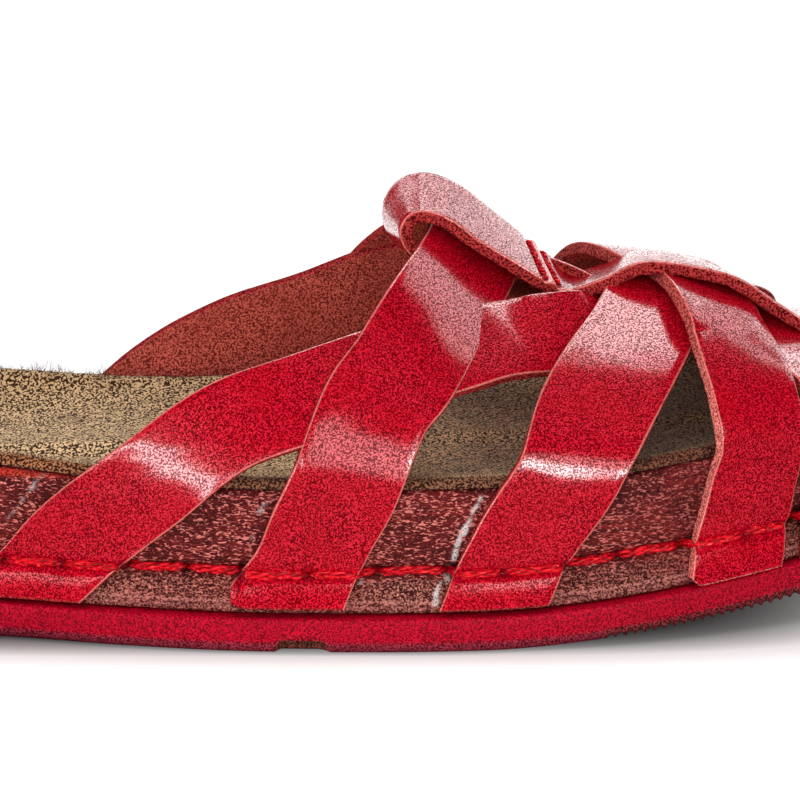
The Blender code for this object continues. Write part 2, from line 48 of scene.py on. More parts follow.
# Shape of the sole, as in the CAD part
LENGTH = 252.0
OUTSOLE_EDGE = 3.6
OUTSOLE_HEIGHT = 6.6
GAP = 0.3
RIM_HEIGHT = 30.8
LEATHER = 2.4
INSOLE = 1.9
HEEL_CUP = 2.2
ARCH_RISE = 2.0
HEEL_CENTRE = -92.0
TOE_START = 62.0
TOE_SHIFT = 9.0
TOE_POWER = 2.25
SPRING_START = 44.0
SPRING_RISE = 9.0
SPRING_POWER = 1.5
HALF = LENGTH / 2 - OUTSOLE_EDGE
SHIFT_START = 10.0      # the middle line bends towards the big toe forward of here
MIDDLE_FROM = -82.0     # the bottom and the cup are drawn in towards the middle line
MIDDLE_TO = 78.0        # between these two stations
WAIST_FROM = 4.0        # groove across the waist
WAIST_TO = 14.5
WAIST_DEPTH = 1.8
TEETH_START = 63.0      # tread under the toes
FIRST_TOOTH = 64.5
TOOTH_PITCH = 1.8
TOOTH_DEPTH = 0.55
CUP_DEPTH = 3.4         # of the cup at the toes, and again as much at the heel
CUP_SHARES = (0.9, 0.78, 0.62, 0.35, 0.06)   # how far in the rings of the cup are drawn

# Points round the wall line for each piece that is built on it
FOOTBED_POINTS = 1500
OUTSOLE_POINTS = 2100
INSOLE_POINTS = 1300
SEAM_POINTS = 2600

# The wall line: half widths either side of the centre line at stations along the foot.
# Columns: station, outer, inner.
OUTLINE = (
    (-126, 27.5, 27.5),
    (-94, 28.5, 28.5),
    (-70, 29.5, 29.5),
    (-46, 31.0, 28.5),
    (-25, 36.5, 28.0),
    (-4, 40.6, 31.0),
    (16, 41.7, 36.0),
    (36, 41.2, 40.0),
    (52, 39.0, 41.5),
    (68, 35.5, 41.5),
    (84, 31.0, 39.5),
    (100, 27.0, 36.0),
    (126, 22.0, 30.0),
)

# The footbed wall: how far out it stands at each height. Columns: height, outset.
WALL = (
    (7.2, 1.1),
    (9.5, 1.0),
    (12.2, 0.3),
    (14.5, -0.8),
    (16.8, -0.2),
    (20.0, 0.1),
    (26.0, 0.0),
    (29.0, -0.6),
    (RIM_HEIGHT, -1.8),
)
WALL_BASE = WALL[0][0]
WALL_TOP = WALL[-2][0]
TOP_OUTSET = WALL[-2][1]
CUP_OUTSET = TOP_OUTSET - 1.4   # rim of the cup
CUP_RIM = WALL_TOP + 0.5
SEAM_OUTSET = WALL[3][1] - 0.1  # the thread in its groove

# The line that a strap takes down the wall. Columns: height, outset.
DRAPE = (
    (7.2, 1.3),
    (9.5, 1.2),
    (12.2, 0.8),
    (14.5, 0.1),
    (16.8, 0.1),
    (20.0, 0.2),
    (26.0, 0.2),
    (RIM_HEIGHT, 0.0),
)

# The outsole's rounded edge from its top face down. Columns: outset, height.
OUTSOLE_PROFILE = (
    (0.9, 6.6), (3.0, 6.6), (3.35, 6.45), (3.55, 6.1), (3.6, 5.6), (3.6, 4.0),
    (3.57, 2.4), (3.48, 1.5), (3.2, 0.85), (2.8, 0.45), (2.3, 0.0),
)

# The insole's edge. Columns: outset from the wall's top, height, share of the heel's lip.
INSOLE_PROFILE = (
    (-0.3, -0.1, 1.0), (-0.25, 0.5, 1.0), (-0.35, 0.9, 1.0), (-0.7, 1.25, 1.0),
    (-1.2, 1.7, 1.0), (-1.9, INSOLE, 1.0), (-2.6, INSOLE - 0.15, 0.9),
    (-3.4, INSOLE - 0.5, 0.75),
)
FIBRES = 5400           # suede fibres round the insole's edge
FIBRE_BENDS = 4
FIBRE_SIDES = 3

# The last over the footbed: ridge of the instep, and fullness of the two flanks.
# Columns: station, y and z of the ridge, power of the outer flank, power of the inner one.
LAST = (
    (-60, 9.0, 79.0, 1.65, 1.75),
    (-30, 9.0, 77.0, 1.65, 1.75),
    (0, 9.0, 73.0, 1.65, 1.75),
    (20, 9.0, 67.0, 1.65, 1.75),
    (30, 9.0, 63.0, 1.65, 1.75),
    (38, 9.0, 59.3, 1.65, 1.75),
    (46, 8.0, 56.2, 1.65, 1.80),
    (56, 7.0, 53.5, 1.65, 1.80),
    (68, 7.0, 51.5, 1.70, 1.90),
    (80, 7.0, 50.0, 1.80, 2.00),
    (92, 7.5, 48.8, 2.20, 2.20),
    (100, 8.0, 47.2, 2.60, 2.40),
    (106, 8.0, 46.0, 2.60, 2.40),
    (112, 8.5, 43.9, 2.30, 2.20),
    (120, 9.0, 41.5, 2.00, 2.00),
)

# Straps over the last. around: 0 on the ridge, 1 at the rim, 2 at the foot of the wall,
# negative on the outer side. layer: how many straps lie under this one. roll lifts the edge
# that faces the heel, in degrees. Columns: station, around, layer, roll, width.
STRAPS = {
    "rear_outer": (
        (-41.5, -1.97, 0, 0, 17.5),
        (-35.4, -1.66, 0, 0, 17.9),
        (-27.4, -1.33, 0, 0, 17.8),
        (-17.7, -1.00, 0, 0, 17.4),
        (-4.7, -0.86, 0, 0, 17.0),
        (12, -0.76, 0, 0, 17.5),
        (30, -0.62, 0, 2, 18.0),
        (45, -0.46, 0, 8, 17.8),
        (52, -0.41, 0.5, 20, 17.0),
        (59, -0.365, 0.6, 25, 17.0),
        (67, -0.29, 0.3, 20, 18.0),
        (76, -0.06, 0, 0, 19.0),
        (86, 0.16, 0, 0, 19.0),
        (95, 0.32, 0, 0, 19.0),
        (101, 0.52, 0, 0, 18.5),
        (105, 0.76, 0, 0, 18.0),
        (107, 1.00, 0, 0, 18.0),
        (107.5, 1.33, 0, 0, 18.0),
        (107, 1.66, 0, 0, 18.0),
        (106.5, 1.97, 0, 0, 18.0),
    ),
    "rear_inner": (
        (-41.5, 1.97, 0, 0, 17.5),
        (-35.0, 1.66, 0, 0, 17.5),
        (-26.5, 1.33, 0, 0, 17.5),
        (-16.5, 1.00, 0, 0, 17.5),
        (-3.5, 0.86, 0, 0, 17.5),
        (13, 0.75, 0.1, -4, 18.0),
        (30, 0.56, 0.3, -8, 18.5),
        (46, 0.37, 0.7, -14, 18.5),
        (60, 0.20, 1.1, -16, 18.5),
        (75, 0.02, 1, -4, 19.0),
        (86, -0.16, 1, 0, 19.0),
        (95, -0.32, 0.2, 0, 19.0),
        (101.5, -0.50, 0, 0, 18.0),
        (106, -0.75, 0, 0, 17.0),
        (107.5, -1.00, 0, 0, 17.0),
        (108, -1.33, 0, 0, 17.0),
        (107.5, -1.66, 0, 0, 17.0),
        (107, -1.97, 0, 0, 17.0),
    ),
    "instep": (
        (5.6, -1.97, 0, 0, 20.8),
        (9.5, -1.66, 0, 0, 18.8),
        (12.9, -1.33, 0, 0, 19.2),
        (16.9, -1.00, 0.1, 0, 19.8),
        (22.2, -0.80, 0.6, 4, 20.2),
        (27.0, -0.68, 0.9, 8, 20.2),
        (32.0, -0.48, 1.3, 16, 20.0),
        (36, -0.28, 1.6, 17, 19.5),
        (38.5, -0.08, 2.1, 12, 19.5),
        (38, 0.10, 2.3, 0, 19.5),
        (31.5, 0.40, 1.6, 0, 19.5),
        (23, 0.70, 0.9, 0, 19.5),
        (15, 1.00, 0.1, 0, 19.0),
        (9, 1.33, 0, 0, 18.5),
        (5, 1.66, 0, 0, 18.0),
        (2, 1.97, 0, 0, 18.0),
    ),
    "middle_outer": (
        (43.6, -1.97, 0, 0, 18.4),
        (46.9, -1.66, 0, 0, 18.4),
        (51.2, -1.33, 0, 0, 18.6),
        (56.8, -1.00, 0.1, 0, 19.0),
        (61.8, -0.80, 0.4, 3, 20.8),
        (66.5, -0.60, 1.0, 6, 20.6),
        (70.7, -0.42, 1.7, 8, 20.0),
        (74.4, -0.20, 2.7, 6, 19.5),
        (78.4, 0.00, 2.4, 0, 19.5),
        (83.5, 0.25, 2, 0, 19.5),
        (88, 0.60, 0.9, 0, 19.0),
        (88.5, 1.00, 0.1, 0, 17.5),
        (87, 1.50, 0, 0, 17.5),
        (85.5, 1.97, 0, 0, 17.5),
    ),
    "front_outer": (
        (87.6, -1.97, 0, 0, 17.8),
        (88.6, -1.66, 0, 0, 17.8),
        (90.3, -1.33, 0, 0, 17.6),
        (91.4, -1.00, 0.7, 4, 17.6),
        (90.4, -0.75, 1, 12, 17.6),
        (87.8, -0.50, 1.7, 18, 17.8),
        (84.0, -0.30, 3.4, 20, 18.0),
        (79.6, 0.00, 3.4, 8, 18.4),
        (75.5, 0.18, 3.5, 0, 19.5),
        (66, 0.50, 3.8, 0, 19.5),
        (57.5, 1.00, 0.2, 0, 18.5),
        (51.5, 1.50, 0, 0, 18.0),
        (47.5, 1.97, 0, 0, 18.0),
    ),
}
STRAP_LAYER = 2.0       # how much higher a strap lies for each strap under it
STRAP_FOOT = 2.01       # around at which a strap is cut off, at the foot of the wall
STRAP_LEATHER = 2.0     # thickness of the crossing straps as seen, but for the front one
ROUND_TABS = {"instep": 4.0, "front_outer": 1.6}   # corner radius of a tab, on its heel side
SHORT_TABS = {"rear_outer": 0.6, "instep": 1.2, "middle_outer": 0.9}   # cut above the sole
STRAIGHT = 0.85         # how far the sections of a strap stay straight as it turns the rim
FACE_POINTS = 15        # points across the grain face of a strap

# The centre strap, from its sewn tail round its loop and down the toe. crown is how far its
# edges lie below its middle. Columns: x, y, z, roll, crown.
CENTRE_STRAP = (
    (55.5, 5.0, 52.7, 0, 0),
    (51.0, 4.6, 54.1, 0, 0),
    (46.0, 4.0, 55.8, 2, 0),
    (39.0, 3.0, 59.5, 6, 0),
    (32.4, 3.0, 62.4, 9, 0),
    (27.7, 3.0, 65.6, 11, 0),
    (26.3, 3.0, 69.9, 11, 0),
    (28.3, 3.0, 73.3, 11, 0),
    (32.0, 3.0, 74.1, 11, 0),
    (37.0, 3.0, 72.0, 10, 0),
    (42.0, 3.0, 68.4, 9, 0.2),
    (48.5, 3.0, 63.9, 6, 0.3),
    (53.5, 3.5, 60.0, 3, 0),
    (58.5, 4.0, 57.0, -3, 0),
    (65.0, 4.0, 58.6, -5, 0),
    (72.0, 4.0, 61.9, -6, 0.3),
    (80.5, 4.5, 61.0, -8, 0.5),
    (88.0, 5.0, 58.0, -14, 0.5),
    (95.0, 5.5, 53.1, -15, 0.5),
    (101.0, 6.5, 50.2, -7, 0.6),
    (107.0, 7.5, 48.6, 0, 0.7),
    (112.5, 8.3, 47.2, 0, 0.8),
    (117.5, 8.8, 45.6, 0, 0.9),
    (121.3, 9.0, 42.4, 0, 1.0),
    (123.6, 9.0, 38.3, 0, 1.0),
    (124.3, 9.0, 33.0, 0, 1.0),
    (124.2, 9.0, 28.0, 0, 1.0),
    (124.0, 9.0, 23.8, 0, 1.0),
    (124.3, 9.0, 20.6, 0, 1.0),
    (124.8, 9.0, 17.4, 0, 1.0),
)
CENTRE_WIDTH = 18.0
CENTRE_FOOT = 40        # steps at its toe end that are searched for the seam

# The two rows of stitches that cross the centre strap and sew its tail down: how far each
# lies from the first, and the spacing of their holes.
CROSS_ROWS = (0.0, 2.6)
CROSS_PITCH = 3.6
CROSS_FIRST = 30        # steps of the strap past the back of its loop where they are sought
CROSS_REACH = 260

# The seam round the sole: stations of the holes on the outer side, then an even pitch.
SEAM_HEIGHT = 14.5
SEAM_PITCH = 11.2
OUTER_HOLES = (-45, -34.2, -23, -12.4, -1.8, 10.4, 23, 35.6, 45.3, 56.9, 66.7, 78.4)

# Dried glue left beside the straps on the outer wall, as short strokes.
# Columns: x and height of one end, x and height of the other, width, strength.
GLUE = (
    (-37.5, 30.0, -40.5, 26.0, 0.9, 0.55),
    (-41.0, 25.5, -45.5, 20.5, 0.7, 0.45),
    (3.0, 28.5, 1.2, 25.0, 0.9, 0.5),
    (1.0, 24.0, -0.2, 20.0, 0.6, 0.4),
    (41.5, 28.0, 40.0, 25.0, 0.6, 0.9),
    (39.5, 24.0, 37.6, 20.3, 0.7, 1.2),
    (37.6, 20.3, 36.6, 16.6, 0.6, 1.2),
    (35.8, 14.6, 35.5, 13.0, 0.75, 1.0),
    (34.3, 12.4, 33.6, 10.9, 0.6, 1.1),
    (33.5, 10.9, 33.3, 8.8, 0.6, 1.1),
    (57.0, 15.8, 59.0, 14.3, 0.6, 0.6),
    (20.0, 13.6, 19.6, 12.4, 0.5, 0.7),
)


def smooth_rows(rows, at):
    """Cubic curve through rows of (place, values ...), read at each place in at."""
    rows = np.asarray(rows, float)
    places, values = rows[:, 0], rows[:, 1:]
    slopes = np.gradient(values, places, axis=0)
    at = np.clip(np.asarray(at, float), places[0], places[-1])
    row = np.clip(np.searchsorted(places, at, side="right") - 1, 0, len(places) - 2)
    span = (places[row + 1] - places[row])[..., None]
    t = (at - places[row])[..., None] / span
    return (
        (2 * t**3 - 3 * t**2 + 1) * values[row]
        + (t**3 - 2 * t**2 + t) * span * slopes[row]
        + (3 * t**2 - 2 * t**3) * values[row + 1]
        + (t**3 - t**2) * span * slopes[row + 1]
    )


def smooth_path(rows, count):
    """Cubic curve through the rows themselves, as count samples evenly spaced in row number."""
    numbered = np.column_stack([np.arange(len(rows)), np.asarray(rows, float)])
    return smooth_rows(numbered, np.linspace(0, len(rows) - 1, count))


def smooth_step(t):
    """3 t^2 - 2 t^3 on t held between 0 and 1."""
    t = np.clip(t, 0, 1)
    return t * t * (3 - 2 * t)


def unit(vectors):
    return vectors / np.linalg.norm(vectors, axis=-1, keepdims=True)


def dot(a, b):
    return (a * b).sum(-1)


def bell(distance, width):
    """exp(-(distance / width)^2)."""
    return np.exp(-((distance / width) ** 2))


def run_along(points):
    """Distance along a line of points, from its first one to each."""
    return np.concatenate([[0], np.cumsum(np.linalg.norm(np.diff(points, axis=0), axis=1))])


def read_at(at, run, rows):
    """Rows known at each place in run, read at the places in at."""
    return np.column_stack([np.interp(at, run, column) for column in rows.T])


def spring(x):
    """Height of the sole above the floor at x: level, then rising to the toe tip."""
    t = np.clip((np.asarray(x, float) - SPRING_START) / (LENGTH / 2 - SPRING_START), 0, None)
    return SPRING_RISE * t**SPRING_POWER


def wall_lines(x):
    """y of the outer and of the inner wall line at x."""
    x = np.asarray(x, float)
    halves = smooth_rows(OUTLINE, x)
    heel = np.clip((HEEL_CENTRE - x) / (HEEL_CENTRE + HALF), 0, 1)
    toe = np.clip((x - TOE_START) / (HALF - TOE_START), 0, 1)
    closing = np.sqrt(1 - heel**2) * (1 - toe**TOE_POWER) ** (1 / TOE_POWER)
    centre = TOE_SHIFT * np.clip((x - SHIFT_START) / (HALF - SHIFT_START), 0, 1) ** 2
    outer = centre - (halves[..., 0] + centre) * closing
    inner = centre + (halves[..., 1] - centre) * closing
    return outer, inner


def arch_rise(x, y):
    """Extra height of the footbed on its inner side, highest at the arch and none outside."""
    inner_side = smooth_step((np.asarray(y, float) + 10) / 30)
    along = np.exp(-(((np.asarray(x, float) + 20) / 60) ** 2))
    return ARCH_RISE * inner_side * (0.4 + 0.6 * along)


def climb(height):
    """Share of the arch's rise that a height on the wall takes part in, 0 at its foot."""
    return (height - WALL_BASE) / (RIM_HEIGHT - WALL_BASE)


class WallLine:
    """The wall line in plan, as points evenly spaced round it from the heel tip, along the
    outer side to the toe and back along the inner side, with outward normals."""

    def __init__(self, count):
        x = HALF * np.cos(np.linspace(np.pi, 0, 900))
        outer, inner = wall_lines(x)
        loop = np.vstack([np.column_stack([x, outer]), np.column_stack([x, inner])[-2:0:-1]])
        loop = np.vstack([loop, loop[:1]])
        run = run_along(loop)
        self.length = run[-1]
        self.run = np.linspace(0, run[-1], count, endpoint=False)
        self.plan = read_at(self.run, run, loop)
        ahead = unit(np.roll(self.plan, -2, axis=0) - np.roll(self.plan, 2, axis=0))
        self.out = np.column_stack([ahead[:, 1], -ahead[:, 0]])

    def ring(self, outset, height, lift=0.0):
        """The line moved out by outset, at a height over the sprung sole, lift of the arch's
        rise added. Each may be one number or a value per point."""
        plan = self.plan + self.out * np.reshape(outset, (-1, 1))
        rise = arch_rise(self.plan[:, 0], self.plan[:, 1])
        return np.column_stack([plan, height + spring(plan[:, 0]) + lift * rise])

    def run_of(self, points):
        """Where along the line the point nearest each given point lies."""
        gaps = np.linalg.norm(self.plan[None] - np.asarray(points)[:, None, :2], axis=2)
        return self.run[gaps.argmin(1)]

    def index_of(self, runs):
        """The number of the point nearest each run."""
        return np.round(runs / self.length * len(self.run)).astype(int) % len(self.run)

    def relief(self, rng, rows, row_cell, cell):
        """Random heights over rows round the line, closed on themselves."""
        return relief(rng, rows, self.run, row_cell, cell, self.length)

    def wave(self, rng, cell):
        """Random heights along the line alone."""
        return self.relief(rng, np.zeros(1), 1, cell)[0]


def shrunk(ring, share, drop=lambda x: 0 * x):
    """A ring drawn in towards the middle of the foot, and lowered by drop(x)."""
    x = np.clip(ring[:, 0], MIDDLE_FROM, MIDDLE_TO)
    outer, inner = wall_lines(x)
    middle = np.column_stack([x, (outer + inner) / 2])
    plan = middle + (ring[:, :2] - middle) * share
    z = ring[:, 2] + spring(plan[:, 0]) - spring(ring[:, 0]) - drop(plan[:, 0])
    return np.column_stack([plan, z])


def cup_rings(rim, shares):
    """Rings from the rim down into the cup: its depth grows as 1 - share^4."""
    def depth(x):
        return CUP_DEPTH + CUP_DEPTH * smooth_step((10 - x) / 80)

    return [shrunk(rim, s, lambda x, s=s: depth(x) * (1 - s**4)) for s in shares]


def heel_lip(x):
    """Extra height of the insole edge, growing towards the heel."""
    return HEEL_CUP * smooth_step((-12 - x) / 45)


class Last:
    """The form the straps lie on: cross-sections with the wall below and the instep above.

    A place on it is (x, run): the station and the distance along the section from the
    ridge, negative on the outer side. Above the rim a flank is the superellipse
    y = cos^(2/power), z = sin^(2/power) between the rim and the ridge.
    """

    STEP_X = 1.0        # spacing of the samples along the foot and along a section
    STEP_RUN = 0.5
    SPREAD = 1.6        # how softly the corners of a section are rounded
    REACH = 120.0       # how far a section goes either side of the ridge
    MARGIN = 25.0       # how far a section is carried on straight past its ends

    def __init__(self):
        self.x = np.arange(-80.0, 121.5, self.STEP_X)
        self.run = np.arange(-self.REACH, self.REACH, self.STEP_RUN)
        sections = [self.section(x) for x in self.x]
        self.grid = np.array([points for points, _ in sections])
        self.marks = np.array([marks for _, marks in sections])

    def section(self, x):
        """One rounded section at x, and its run at around = -2, -1, 0, 1 and 2."""
        outer, inner = wall_lines(x)
        slopes = np.subtract(wall_lines(x + 0.3), wall_lines(x - 0.3)) / 0.6
        ridge_y, ridge_z, outer_power, inner_power = smooth_rows(LAST, x)
        height = np.linspace(WALL_BASE, RIM_HEIGHT, 40)
        outset = smooth_rows(DRAPE, height)[:, 0]
        sides = []
        both = ((outer, -1, outer_power, slopes[0]), (inner, 1, inner_power, slopes[1]))
        for edge, out, power, slope in both:
            y = edge + out * outset * np.hypot(1, slope)
            z = height + spring(x) + climb(height) * arch_rise(x, edge)
            wall = np.column_stack([y, z])
            angle = np.linspace(0, np.pi / 2, 90)[1:]
            across = ridge_y + (wall[-1, 0] - ridge_y) * np.cos(angle) ** (2 / power)
            rise = wall[-1, 1] + (ridge_z - wall[-1, 1]) * np.sin(angle) ** (2 / power)
            sides.append((wall, np.column_stack([across, rise])))
        (wall_a, flank_a), (wall_b, flank_b) = sides
        points = np.vstack([wall_a, flank_a, flank_b[-2::-1], wall_b[::-1]])
        run = run_along(points)
        ends = np.cumsum([len(wall_a), len(flank_a), len(flank_b) - 1]) - 1
        marks = np.array([run[0], run[ends[0]], run[ends[1]], run[ends[2] + 1], run[-1]])
        run, marks = run - run[ends[1]], marks - run[ends[1]]
        return self.rounded(x, points, run), marks

    def rounded(self, x, points, run):
        """The section sampled at even runs, its corners rounded off by a moving mean."""
        first = points[0] + unit(points[0] - points[2]) * self.MARGIN
        last = points[-1] + unit(points[-1] - points[-3]) * self.MARGIN
        points = np.vstack([first, points, last])
        run = np.concatenate([[run[0] - self.MARGIN], run, [run[-1] + self.MARGIN]])
        reach = int(3 * self.SPREAD / self.STEP_RUN)
        offsets = np.arange(-reach, reach + 1) * self.STEP_RUN
        weights = np.exp(-0.5 * (offsets / self.SPREAD) ** 2)
        weights /= weights.sum()
        plain = [np.interp(self.run, run, points[:, axis]) for axis in (0, 1)]
        soft = [np.convolve(np.pad(v, reach, mode="edge"), weights, "valid") for v in plain]
        return np.column_stack([np.full(len(self.run), x), *soft])

    def stretch(self, marks, side):
        """Runs at the two ends of a stretch of around, numbered 0 to 3 from -2."""
        return [np.take_along_axis(marks, side[:, None] + end, 1)[:, 0] for end in (0, 1)]

    def to_run(self, x, around):
        """Run of a place given as around, -2 to 2, at station x."""
        side = np.clip(np.floor(around + 2).astype(int), 0, 3)
        low, high = self.stretch(read_at(x, self.x, self.marks), side)
        return low + (high - low) * (around + 2 - side)

    def to_around(self, x, run):
        """The around of a place given by its run, the inverse of to_run."""
        marks = read_at(x, self.x, self.marks)
        side = np.clip((run[:, None] > marks[:, 1:4]).sum(1), 0, 3)
        low, high = self.stretch(marks, side)
        return side - 2 + (run - low) / (high - low)

    def beside(self, x, run, side, distance):
        """The place a distance away in the direction side, which lies in the surface."""
        by_x, by_run, _normal = self.slopes(x, run)
        xx, xr, rr = dot(by_x, by_x), dot(by_x, by_run), dot(by_run, by_run)
        go_x, go_run = dot(side, by_x), dot(side, by_run)
        scale = distance / (xx * rr - xr**2)
        return x + (go_x * rr - go_run * xr) * scale, run + (go_run * xx - go_x * xr) * scale

    def point(self, x, run):
        """The point at (x, run), between the four nearest samples."""
        u = np.clip((x - self.x[0]) / self.STEP_X, 0, len(self.x) - 1.001)
        v = np.clip((run - self.run[0]) / self.STEP_RUN, 0, len(self.run) - 1.001)
        i, j = u.astype(int), v.astype(int)
        u, v = (u - i)[..., None], (v - j)[..., None]
        near = self.grid[i, j] * (1 - v) + self.grid[i, j + 1] * v
        far = self.grid[i + 1, j] * (1 - v) + self.grid[i + 1, j + 1] * v
        return near * (1 - u) + far * u

    def slopes(self, x, run, step=0.8):
        """Change of the point per millimetre of x and of run, and the outward normal."""
        by_x = (self.point(x + step, run) - self.point(x - step, run)) / (2 * step)
        by_run = (self.point(x, run + step) - self.point(x, run - step)) / (2 * step)
        return by_x, by_run, unit(np.cross(by_x, by_run))


def relief(rng, v, u, v_cell, u_cell, length=None):
    """Smooth random heights from -1 to 1 over the grid v x u: random values at the corners
    of cells, with a smooth step between them. They repeat along u after length."""
    length = length or np.ptp(u) + 3 * u_cell
    columns = max(int(round(length / u_cell)), 3)
    rows = int(np.ptp(v) / v_cell) + 3
    coarse = rng.uniform(-1, 1, (rows, columns))
    a, b = (v - v.min()) / v_cell, (u - u.min()) / length * columns
    i, j = a.astype(int), b.astype(int)
    s, t = smooth_step(a - i)[:, None], smooth_step(b - j)[None]

    def across(row):
        ends = [coarse[np.ix_(row, column % columns)] for column in (j, j + 1)]
        return ends[0] * (1 - t) + ends[1] * t

    return across(i) * (1 - s) + across(i + 1) * s


def grid_faces(rows, columns, round_rows=False, round_columns=False):
    """Quads over a grid of points numbered row by row, joined up where it goes round."""
    i, j = np.meshgrid(np.arange(rows if round_rows else rows - 1),
                       np.arange(columns if round_columns else columns - 1), indexing="ij")
    ahead, beside = (i + 1) % rows, (j + 1) % columns
    return np.stack([i * columns + j, i * columns + beside,
                     ahead * columns + beside, ahead * columns + j], -1).reshape(-1, 4)


def foot_cap(count, start):
    """Faces that bridge a ring across the foot, pairing points of its two sides."""
    middle = count // 2
    i = np.arange(1, middle - 1)
    quads = np.column_stack([i, i + 1, count - 1 - i, count - i]) + start
    tips = np.array([(0, 1, count - 1), (middle - 1, middle, middle + 1)]) + start
    return [quads, tips]


def lofted(rings):
    """Points and faces of a closed body through rings of equal count."""
    rings = np.asarray(rings)
    layers, count = rings.shape[:2]
    faces = [grid_faces(layers, count, round_columns=True)]
    faces += foot_cap(count, 0) + foot_cap(count, (layers - 1) * count)
    return rings.reshape(-1, 3), faces


def placed_object(name, data):
    """A new object in the scene."""
    made = bpy.data.objects.new(name, data)
    bpy.context.scene.collection.objects.link(made)
    return made


def add_piece(name, points, faces, material, node=None, values=None):
    """A smooth mesh object in metres that rides on the root body, its faces turned outwards.

    values holds one number per point for each named attribute that the material reads.
    """
    corners = np.concatenate([f.ravel() for f in faces])
    sizes = np.concatenate([np.full(len(f), f.shape[1]) for f in faces])
    mesh = bpy.data.meshes.new(name)
    mesh.vertices.add(len(points))
    mesh.vertices.foreach_set("co", (np.asarray(points) * MM).ravel())
    mesh.loops.add(len(corners))
    mesh.loops.foreach_set("vertex_index", corners.astype(np.int32))
    mesh.polygons.add(len(sizes))
    starts = np.concatenate([[0], np.cumsum(sizes)[:-1]])
    mesh.polygons.foreach_set("loop_start", starts.astype(np.int32))
    mesh.update(calc_edges=True)
    mesh.validate()
    for label, numbers in (values or {}).items():
        layer = mesh.attributes.new(label, "FLOAT", "POINT")
        layer.data.foreach_set("value", np.asarray(numbers, np.float32).ravel())
    build = bmesh.new()
    build.from_mesh(mesh)
    bmesh.ops.recalc_face_normals(build, faces=build.faces)
    build.to_mesh(mesh)
    build.free()
    mesh.shade_smooth()
    mesh.materials.append(material)
    piece = placed_object(name, mesh)
    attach(piece, "root")
    if node:
        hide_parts(node)
    return piece


# ---------------------------------------------------------------- finishes


def dye(red, green, blue):
    """A colour given in display values, 0 to 255, as the linear colour a shader takes."""
    shown = np.array([red, green, blue]) / 255
    linear = np.where(shown <= 0.04045, shown / 12.92, ((shown + 0.055) / 1.055) ** 2.4)
    return (*(float(c) for c in linear), 1.0)


class Wire:
    """The output of a node. Arithmetic on wires adds Math nodes."""

    def __init__(self, finish, socket):
        self.finish, self.socket = finish, socket

    def _maths(self, operation, *terms):
        return self.finish.node("ShaderNodeMath", {"operation": operation},
                                dict(enumerate(terms)))

    def __add__(self, other):
        return self._maths("ADD", self, other)

    __radd__ = __add__

    def __sub__(self, other):
        return self._maths("SUBTRACT", self, other)

    def __rsub__(self, other):
        return self._maths("SUBTRACT", other, self)

    def __mul__(self, other):
        return self._maths("MULTIPLY", self, other)

    __rmul__ = __mul__

    def or_more(self, other):
        return self._maths("MAXIMUM", self, other)

    def between(self, low, high):
        """0 up to low, 1 from high, and a smooth step between them."""
        return self.finish.node(
            "ShaderNodeMapRange", {"interpolation_type": "SMOOTHSTEP"},
            {"Value": self, "From Min": low, "From Max": high})


class Finish:
    """A material on one Principled shader. Constants go straight onto its sockets."""

    def __init__(self, name, **constants):
        self.material = bpy.data.materials.new(name)
        self.material.use_nodes = True
        self.tree = self.material.node_tree
        self.shader = self.tree.nodes["Principled BSDF"]
        self.wear(**constants)
        self.place = self.node("ShaderNodeTexCoord", output="Object")

    def node(self, kind, settings=None, inputs=None, output=0):
        """A new node: its settings, then the values or wires of its sockets."""
        made = self.tree.nodes.new(kind)
        for key, value in (settings or {}).items():
            setattr(made, key, value)
        for key, value in (inputs or {}).items():
            self.join(made.inputs[key], value)
        return Wire(self, made.outputs[output])

    def join(self, socket, value):
        if isinstance(value, Wire):
            self.tree.links.new(value.socket, socket)
        else:
            socket.default_value = value

    def axes(self):
        """The x, y and z of a place on the object, in metres."""
        split = self.node("ShaderNodeSeparateXYZ", None, {0: self.place})
        return [Wire(self, socket) for socket in split.socket.node.outputs]

    def mark(self, name):
        """A number stored on the mesh."""
        return self.node("ShaderNodeAttribute", {"attribute_name": name}, output="Fac")

    def noise(self, cell, stretch=(1, 1, 1), detail=2.0, roughness=0.5, warp=0.0):
        """Noise about 0.5 whose lumps are cell millimetres apart, longer along an axis
        with a stretch above 1."""
        scale = tuple(1 / (cell * MM * s) for s in stretch)
        spread = self.node("ShaderNodeVectorMath", {"operation": "MULTIPLY"},
                           {0: self.place, 1: scale})
        return self.node("ShaderNodeTexNoise", None, {
            "Vector": spread, "Scale": 1.0, "Detail": detail,
            "Roughness": roughness, "Distortion": warp})

    def mix(self, share, first, second):
        """The first colour at share 0, the second at 1, each a wire or display values."""
        first, second = (dye(*c) if isinstance(c, tuple) else c for c in (first, second))
        return self.node("ShaderNodeMix", {"data_type": "RGBA"},
                         {0: share, 6: first, 7: second}, output=2)

    def layered(self, base, *layers):
        """The base colour with each layer, a share and a colour, mixed over it in turn."""
        for share, colour in layers:
            base = self.mix(share, base, colour)
        return base

    def bump(self, height, depth, strength=1.0, under=None):
        """A bump depth millimetres high where the height goes from 0 to 1."""
        inputs = {"Height": height, "Distance": depth * MM, "Strength": strength}
        if under:
            inputs["Normal"] = under
        return self.node("ShaderNodeBump", None, inputs)

    def wear(self, **sockets):
        """Joins what changes over the surface to the shader, and gives the material."""
        for label, value in sockets.items():
            self.join(self.shader.inputs[label.replace("_", " ")], value)
        return self.material


